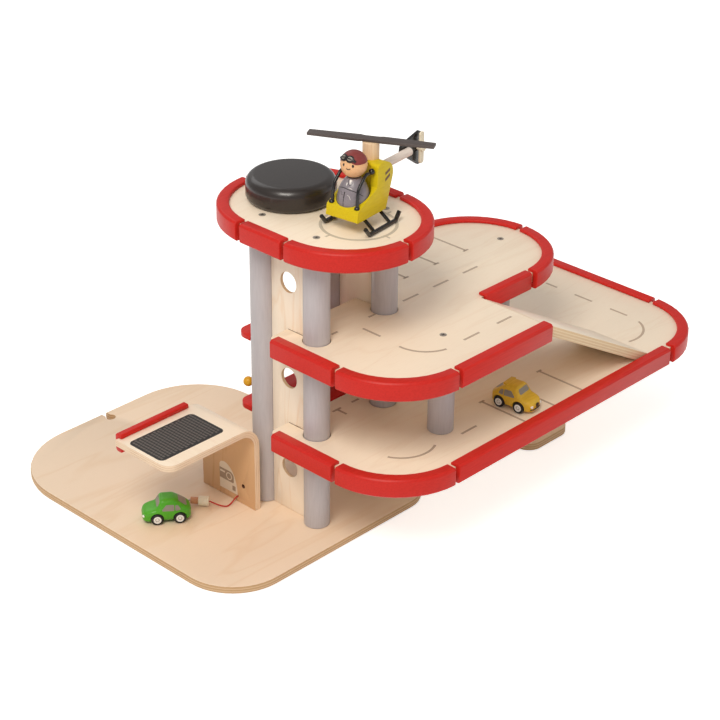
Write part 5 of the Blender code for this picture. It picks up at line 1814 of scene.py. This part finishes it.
@dataclass
class Pilot:
    """The turned pilot, with a ball head that faces a little towards the viewer."""

    seat: Matrix
    radius: float = 17.0
    foot: float = 20.3
    head_radius: float = 13.8
    head_z: float = 68.8
    look: float = 10.7
    brow: float = -11.5
    cap_rim: float = 15.0
    cap_arch: float = 17.0
    cap_top: float = 88.0
    goggle_turn: float = -14.5
    goggle_half: float = 20.0
    eye_half: float = 22.0
    print_lift: float = 0.16
    shape: tuple[Point2, ...] = (
        (0.0, 0.88), (0.05, 0.94), (0.12, 0.97), (0.22, 0.99), (0.35, 1.0), (0.48, 0.96), (0.6, 0.9),
        (0.7, 0.83), (0.8, 0.74), (0.88, 0.64), (0.94, 0.55), (1.0, 0.41))
    patches: tuple[tuple[Point2, Point2, Point2], ...] = (
        ((26.0, 54.2), (7.0, 54.2), (16.5, 50.6)), ((2.0, 51.6), (-5.0, 51.6), (-1.5, 48.4)))
    seams: tuple[tuple[float, tuple[Point2, ...]], ...] = (
        (1.2, ((-50.0, 44.0), (-15.0, 46.4), (18.0, 45.6), (47.0, 43.6), (75.0, 39.0))),
        (2.3, ((-1.0, 43.0), (-1.5, 32.0), (-2.0, 24.0))),
        (0.55, ((-1.0, 53.6), (8.0, 50.6), (16.5, 49.6))),
        (0.55, ((33.0, 53.0), (27.0, 50.4), (16.5, 49.6))),
        (0.4, ((-20.0, 42.6), (-14.0, 39.6), (-6.0, 40.6))))
    pockets: tuple[tuple[float, tuple[Point2, ...]], ...] = (
        (0.45, ((12.0, 40.6), (20.0, 39.6), (25.0, 36.4))),
        (0.5, ((12.0, 47.6), (22.0, 47.2), (30.0, 46.4))))
    slot: str = "grey_painted_wood"
    head_slot: str = "skin_painted_wood"

    @property
    def height(self) -> float:
        """The body's height."""
        return self.head_z - self.head_radius - GAP - self.foot

    def on_head(self, yaw: float, pitch: float, rise: float = 0.0) -> Vector:
        """Find a place on the head.

        Args:
            yaw: Degrees to the left of where the face looks.
            pitch: Degrees over the head's equator.
            rise: Millimetres over the surface.

        Returns:
            The point in the seat's frame.
        """
        turn, lift, reach = math.radians(yaw + self.look), math.radians(pitch), self.head_radius + rise
        flat = reach * math.cos(lift)
        return Vector((flat * math.cos(turn), flat * math.sin(turn), self.head_z + reach * math.sin(lift)))

    def on_body(self, yaw: float, z: float, rise: float = 0.0) -> Vector:
        """Find a place on the body.

        Args:
            yaw: Degrees to the left of straight ahead.
            z: Its height.
            rise: Millimetres over the surface.

        Returns:
            The point in the seat's frame.
        """
        level = (z - self.foot) / self.height
        reach = self.radius * self.shape[-1][1]
        for (low, start), (high, stop) in zip(self.shape, self.shape[1:]):
            if low <= level <= high:
                reach = self.radius * (start + (stop - start) * (level - low) / (high - low))
        turn = math.radians(yaw)
        return Vector(((reach + rise) * math.cos(turn), (reach + rise) * math.sin(turn), z))

    def spot(self, yaw: float, pitch: float, radius: float, depth: float, stretch: float = 1.0,
             rise: float = 0.0) -> bpy.types.Object:
        """Set a small disc on the head.

        Args:
            yaw: Its place.
            pitch: Its place.
            radius: Its radius.
            depth: Its thickness.
            stretch: Its height over its width.
            rise: Its height over the surface.

        Returns:
            The disc.
        """
        place = self.on_head(yaw, pitch, rise)
        turn = (place - UP * self.head_z).to_track_quat("Z", "Y").to_matrix().to_4x4()
        matrix = self.seat @ Matrix.Translation(place) @ turn @ Matrix.Diagonal((1.0, stretch, 1.0, 1.0))
        profile = [(0.0, -1.0), (radius, -1.0), (radius, depth * 0.6), (radius * 0.8, depth), (0.0, depth)]
        return lathe("spot", profile, matrix, 28)

    def line(self, width: float, stations: Sequence[Point2]) -> bpy.types.Object:
        """Print a line on the body.

        Args:
            width: Its width in millimetres.
            stations: Its (yaw, height) points.

        Returns:
            The line.
        """
        route = smooth_route([(yaw, z, 0.0) for yaw, z in stations], 3.0)
        return pipe("line", [self.on_body(point.x, point.y, 0.1 - width / 2) for point in route], width / 2, self.seat)

    def patch(self, left: Point2, right: Point2, tip: Point2, steps: int = 6) -> bpy.types.Object:
        """Print a three-cornered patch on the body.

        Args:
            left: Its left corner, as yaw and height.
            right: Its right corner.
            tip: Its lower corner.
            steps: How many faces it has along each side.

        Returns:
            The patch.
        """
        rows = []
        for row in range(steps + 1):
            start, stop = (Vector(end).lerp(Vector(tip), row / steps * 0.98) for end in (left, right))
            spots = [start.lerp(stop, column / steps) for column in range(steps + 1)]
            rows.append([self.on_body(spot.x, spot.y, self.print_lift) for spot in spots])
        return thickened(skin("patch", rows, self.seat, 80.0, around=False), self.print_lift)

    def uniform(self) -> None:
        """Turn the body and print its collar, badge, belt, seams and pockets."""
        profile = [(0.0, self.foot)]
        profile += [(self.radius * share, self.foot + self.height * rise) for rise, share in self.shape]
        profile.append((0.0, self.foot + self.height))
        dress_flyer(lathe("pilot_body_painted", profile, self.seat, 64), self.slot, UNIFORM, node="pilot_body")
        prints = (
            ("pilot_collar", [self.patch(*corners) for corners in self.patches], WHITE_INK),
            ("pilot_seams", [self.line(*stroke) for stroke in self.seams], EYE_INK),
            ("pilot_pockets", [self.line(*stroke) for stroke in self.pockets], WHITE_INK),
        )
        for name, parts, ink in prints:
            dress_flyer(joined(name, parts), self.slot, ink)

    def head(self) -> None:
        """Turn the head."""
        steps = 40
        turns = [math.pi * step / steps for step in range(1, steps)]
        ball = [(0.0, self.head_z - self.head_radius)]
        ball += [(self.head_radius * math.sin(t), self.head_z - self.head_radius * math.cos(t)) for t in turns]
        ball.append((0.0, self.head_z + self.head_radius))
        dress_flyer(lathe("pilot_head_painted", ball, self.seat, 64), self.head_slot, SKIN, node="pilot_head")

    def cap(self) -> None:
        """Fit the cap, whose rim arches up over the brow."""
        sides, rows = 72, 16
        rings = []
        for row in range(rows):
            ring = []
            for side in range(sides):
                yaw = 360.0 * side / sides
                lobe = min(90.0, abs((yaw - self.brow + 180.0) % 360.0 - 180.0) * 1.7)
                rim = self.cap_rim + self.cap_arch * math.cos(math.radians(lobe)) ** 2
                ring.append(self.on_head(yaw, rim + (self.cap_top - rim) * row / (rows - 1), 0.15))
            rings.append(ring)
        cap = thickened(skin("pilot_cap", rings, self.seat, 80.0, caps=(-1,)), 0.3)
        dress_flyer(cap, self.head_slot, HELMET)

    def face(self) -> None:
        """Put on the goggles and paint the eyes and the smile."""
        middle = self.goggle_turn
        rounds = [middle + yaw for yaw in (-self.goggle_half, self.goggle_half)]
        strap = [self.on_head(middle + yaw, 40.5 - 13.0 * (yaw / 48.0) ** 2, 0.2) for yaw in range(-48, 49, 4)]
        smile = [self.on_head(2.0 + yaw, -0.5 - 4.5 * (1.0 - (yaw / 9.0) ** 2), 0.05) for yaw in range(-9, 10, 2)]
        parts = (
            ("pilot_goggles", [pipe("strap", strap, 1.5, self.seat),
                               *(self.spot(yaw, 38.5, 4.4, 1.3, 0.86) for yaw in rounds),
                               self.spot(middle, 40.0, 2.6, 1.0, 0.8)], EYE_INK),
            ("pilot_lenses", [self.spot(yaw, 39.0, 2.5, 0.2, 0.86, 1.25) for yaw in rounds], WINDOW_INK),
            ("pilot_face", [*(self.spot(yaw, 10.8, 1.1, 0.15, 1.4) for yaw in (-self.eye_half, self.eye_half)),
                            pipe("smile", smile, 0.4, self.seat)], EYE_INK),
        )
        for name, made, ink in parts:
            dress_flyer(joined(name, made), self.head_slot, ink)

    def build(self) -> None:
        """Make the pilot."""
        self.uniform()
        self.head()
        self.cap()
        self.face()


# Stage, light and camera

@dataclass
class Studio:
    """The pale floor, the soft lamps and the camera at the photograph's angle."""

    azimuth: float = -46.330
    elevation: float = 28.304
    roll: float = 0.562
    focal: float = 2021.264
    frame_side: float = 720.0
    sensor: float = 36.0
    distance: float = 2167.76
    right_shift: float = 46.19
    up_shift: float = 173.96
    floor_side: float = 12.0
    floor_drop: float = 0.6
    floor_colour: str = "F7F6F4"
    floor_glow: float = 0.6
    world_light: float = 0.43

    def axes(self) -> tuple[Vector, Vector, Vector]:
        """Give the camera's own axes.

        Returns:
            Its right, up and back directions.
        """
        azimuth, elevation, roll = (math.radians(a) for a in (self.azimuth, self.elevation, self.roll))
        back = Vector((math.sin(azimuth) * math.cos(elevation), -math.cos(azimuth) * math.cos(elevation),
                       math.sin(elevation)))
        right = Vector((math.cos(azimuth), math.sin(azimuth), 0.0))
        up = back.cross(right)
        return (right * math.cos(roll) + up * math.sin(roll), up * math.cos(roll) - right * math.sin(roll), back)

    def camera(self) -> None:
        """Set the camera where the photograph was taken."""
        right, up, back = self.axes()
        place = right * self.right_shift + up * self.up_shift + back * self.distance
        data = bpy.data.cameras.new("photo_camera")
        data.sensor_width = self.sensor
        data.lens = self.focal / self.frame_side * self.sensor
        data.clip_end = 50.0
        camera = linked("photo_camera", data)
        turn = Matrix((right, up, back)).transposed().to_4x4()
        camera.matrix_world = Matrix.Translation(at(*place)) @ turn
        bpy.context.scene.camera = camera

    def lamp(self, name: str, place: Vector, target: Vector, size: float, power: float, colour: str) -> None:
        """Hang one square lamp.

        Args:
            name: Its name.
            place: Where it hangs.
            target: What it faces.
            size: Its side in metres.
            power: Its watts.
            colour: Its colour.
        """
        data = bpy.data.lights.new(name, "AREA")
        data.size = size
        data.energy = power
        data.color = linear(colour)[:3]
        turn = (place - target).to_track_quat("Z", "Y").to_matrix().to_4x4()
        linked(name, data).matrix_world = Matrix.Translation(place) @ turn

    def floor(self) -> None:
        """Lay the floor: pale, and white to the camera where no shadow falls."""
        body = bmesh.new()
        bmesh.ops.create_grid(body, x_segments=1, y_segments=1, size=self.floor_side / 2)
        item = finish_mesh("studio_floor", body, Matrix.Translation(-UP * self.floor_drop * MM))
        material, tree, shader = new_material("studio_paper")
        feed(tree, shader, {"Base Color": linear(self.floor_colour), "Roughness": 0.9, "Specular IOR Level": 0.1})
        path = add(tree, "ShaderNodeLightPath").outputs
        seen = calc(tree, "MAXIMUM", path["Is Camera Ray"], path["Is Glossy Ray"])
        seen = calc(tree, "MAXIMUM", seen, path["Is Transmission Ray"])
        glow = add(tree, "ShaderNodeEmission", {"Color": (1.0, 1.0, 1.0, 1.0), "Strength": 1.0})
        share = calc(tree, "MULTIPLY", seen, self.floor_glow)
        dark = add(tree, "ShaderNodeEmission", {"Strength": 0.0})
        extra = add(tree, "ShaderNodeMixShader", {0: share, 1: dark.outputs[0], 2: glow.outputs[0]})
        total = add(tree, "ShaderNodeAddShader", {0: shader.outputs[0], 1: extra.outputs[0]})
        tree.links.new(total.outputs[0], tree.nodes["Material Output"].inputs["Surface"])
        item.data.materials.append(material)

    def world(self) -> None:
        """Fill the scene with soft white light, and show white behind it."""
        world = bpy.data.worlds.new("studio_world")
        world.use_nodes = True
        bpy.context.scene.world = world
        tree = world.node_tree
        path = add(tree, "ShaderNodeLightPath").outputs
        seen = calc(tree, "MAXIMUM", path["Is Camera Ray"], path["Is Transmission Ray"])
        feed(tree, tree.nodes["Background"], {
            "Color": (1.0, 1.0, 1.0, 1.0), "Strength": spread(tree, seen, self.world_light, 1.0)})

    def build(self) -> None:
        """Set the stage."""
        self.camera()
        self.floor()
        self.world()
        middle = Vector((0.12, -0.15, 0.15))
        self.lamp("key_softbox", Vector((-1.65, -0.95, 2.6)), middle, 1.2, 54.0, "FFF9F0")
        self.lamp("fill_softbox", Vector((1.8, -1.6, 1.6)), middle, 1.8, 4.0, "FFF8F0")
        self.lamp("back_softbox", Vector((0.6, 2.0, 2.2)), middle, 1.6, 9.0, "FFFFFF")
        bpy.context.scene.view_settings.view_transform = "Standard"


def main() -> None:
    """Build every piece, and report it."""
    logging.basicConfig(level=logging.INFO, format="%(name)s: %(message)s")
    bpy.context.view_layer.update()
    for maker in (Studio, Timber, Rails, Dowels, Canopy, Markings, DeckScrews, Lift, WindingWheel, ChargingPlug):
        maker().build()
    ToyCar("green_car", "green_painted_wood", GREEN_PAINT, stand(-106.4, 120.2, 0.0, 144.1), False).build()
    ToyCar("yellow_car", "yellow_painted_wood", CAR_YELLOW, stand(194.0, -106.9, LEVEL_LOW, -82.0), True).build()
    helicopter = Helicopter()
    helicopter.build()
    Pilot(helicopter.place @ Matrix.Translation((helicopter.seat_x, 0.0, 0.0))).build()


if __name__ == "__main__":
    main()
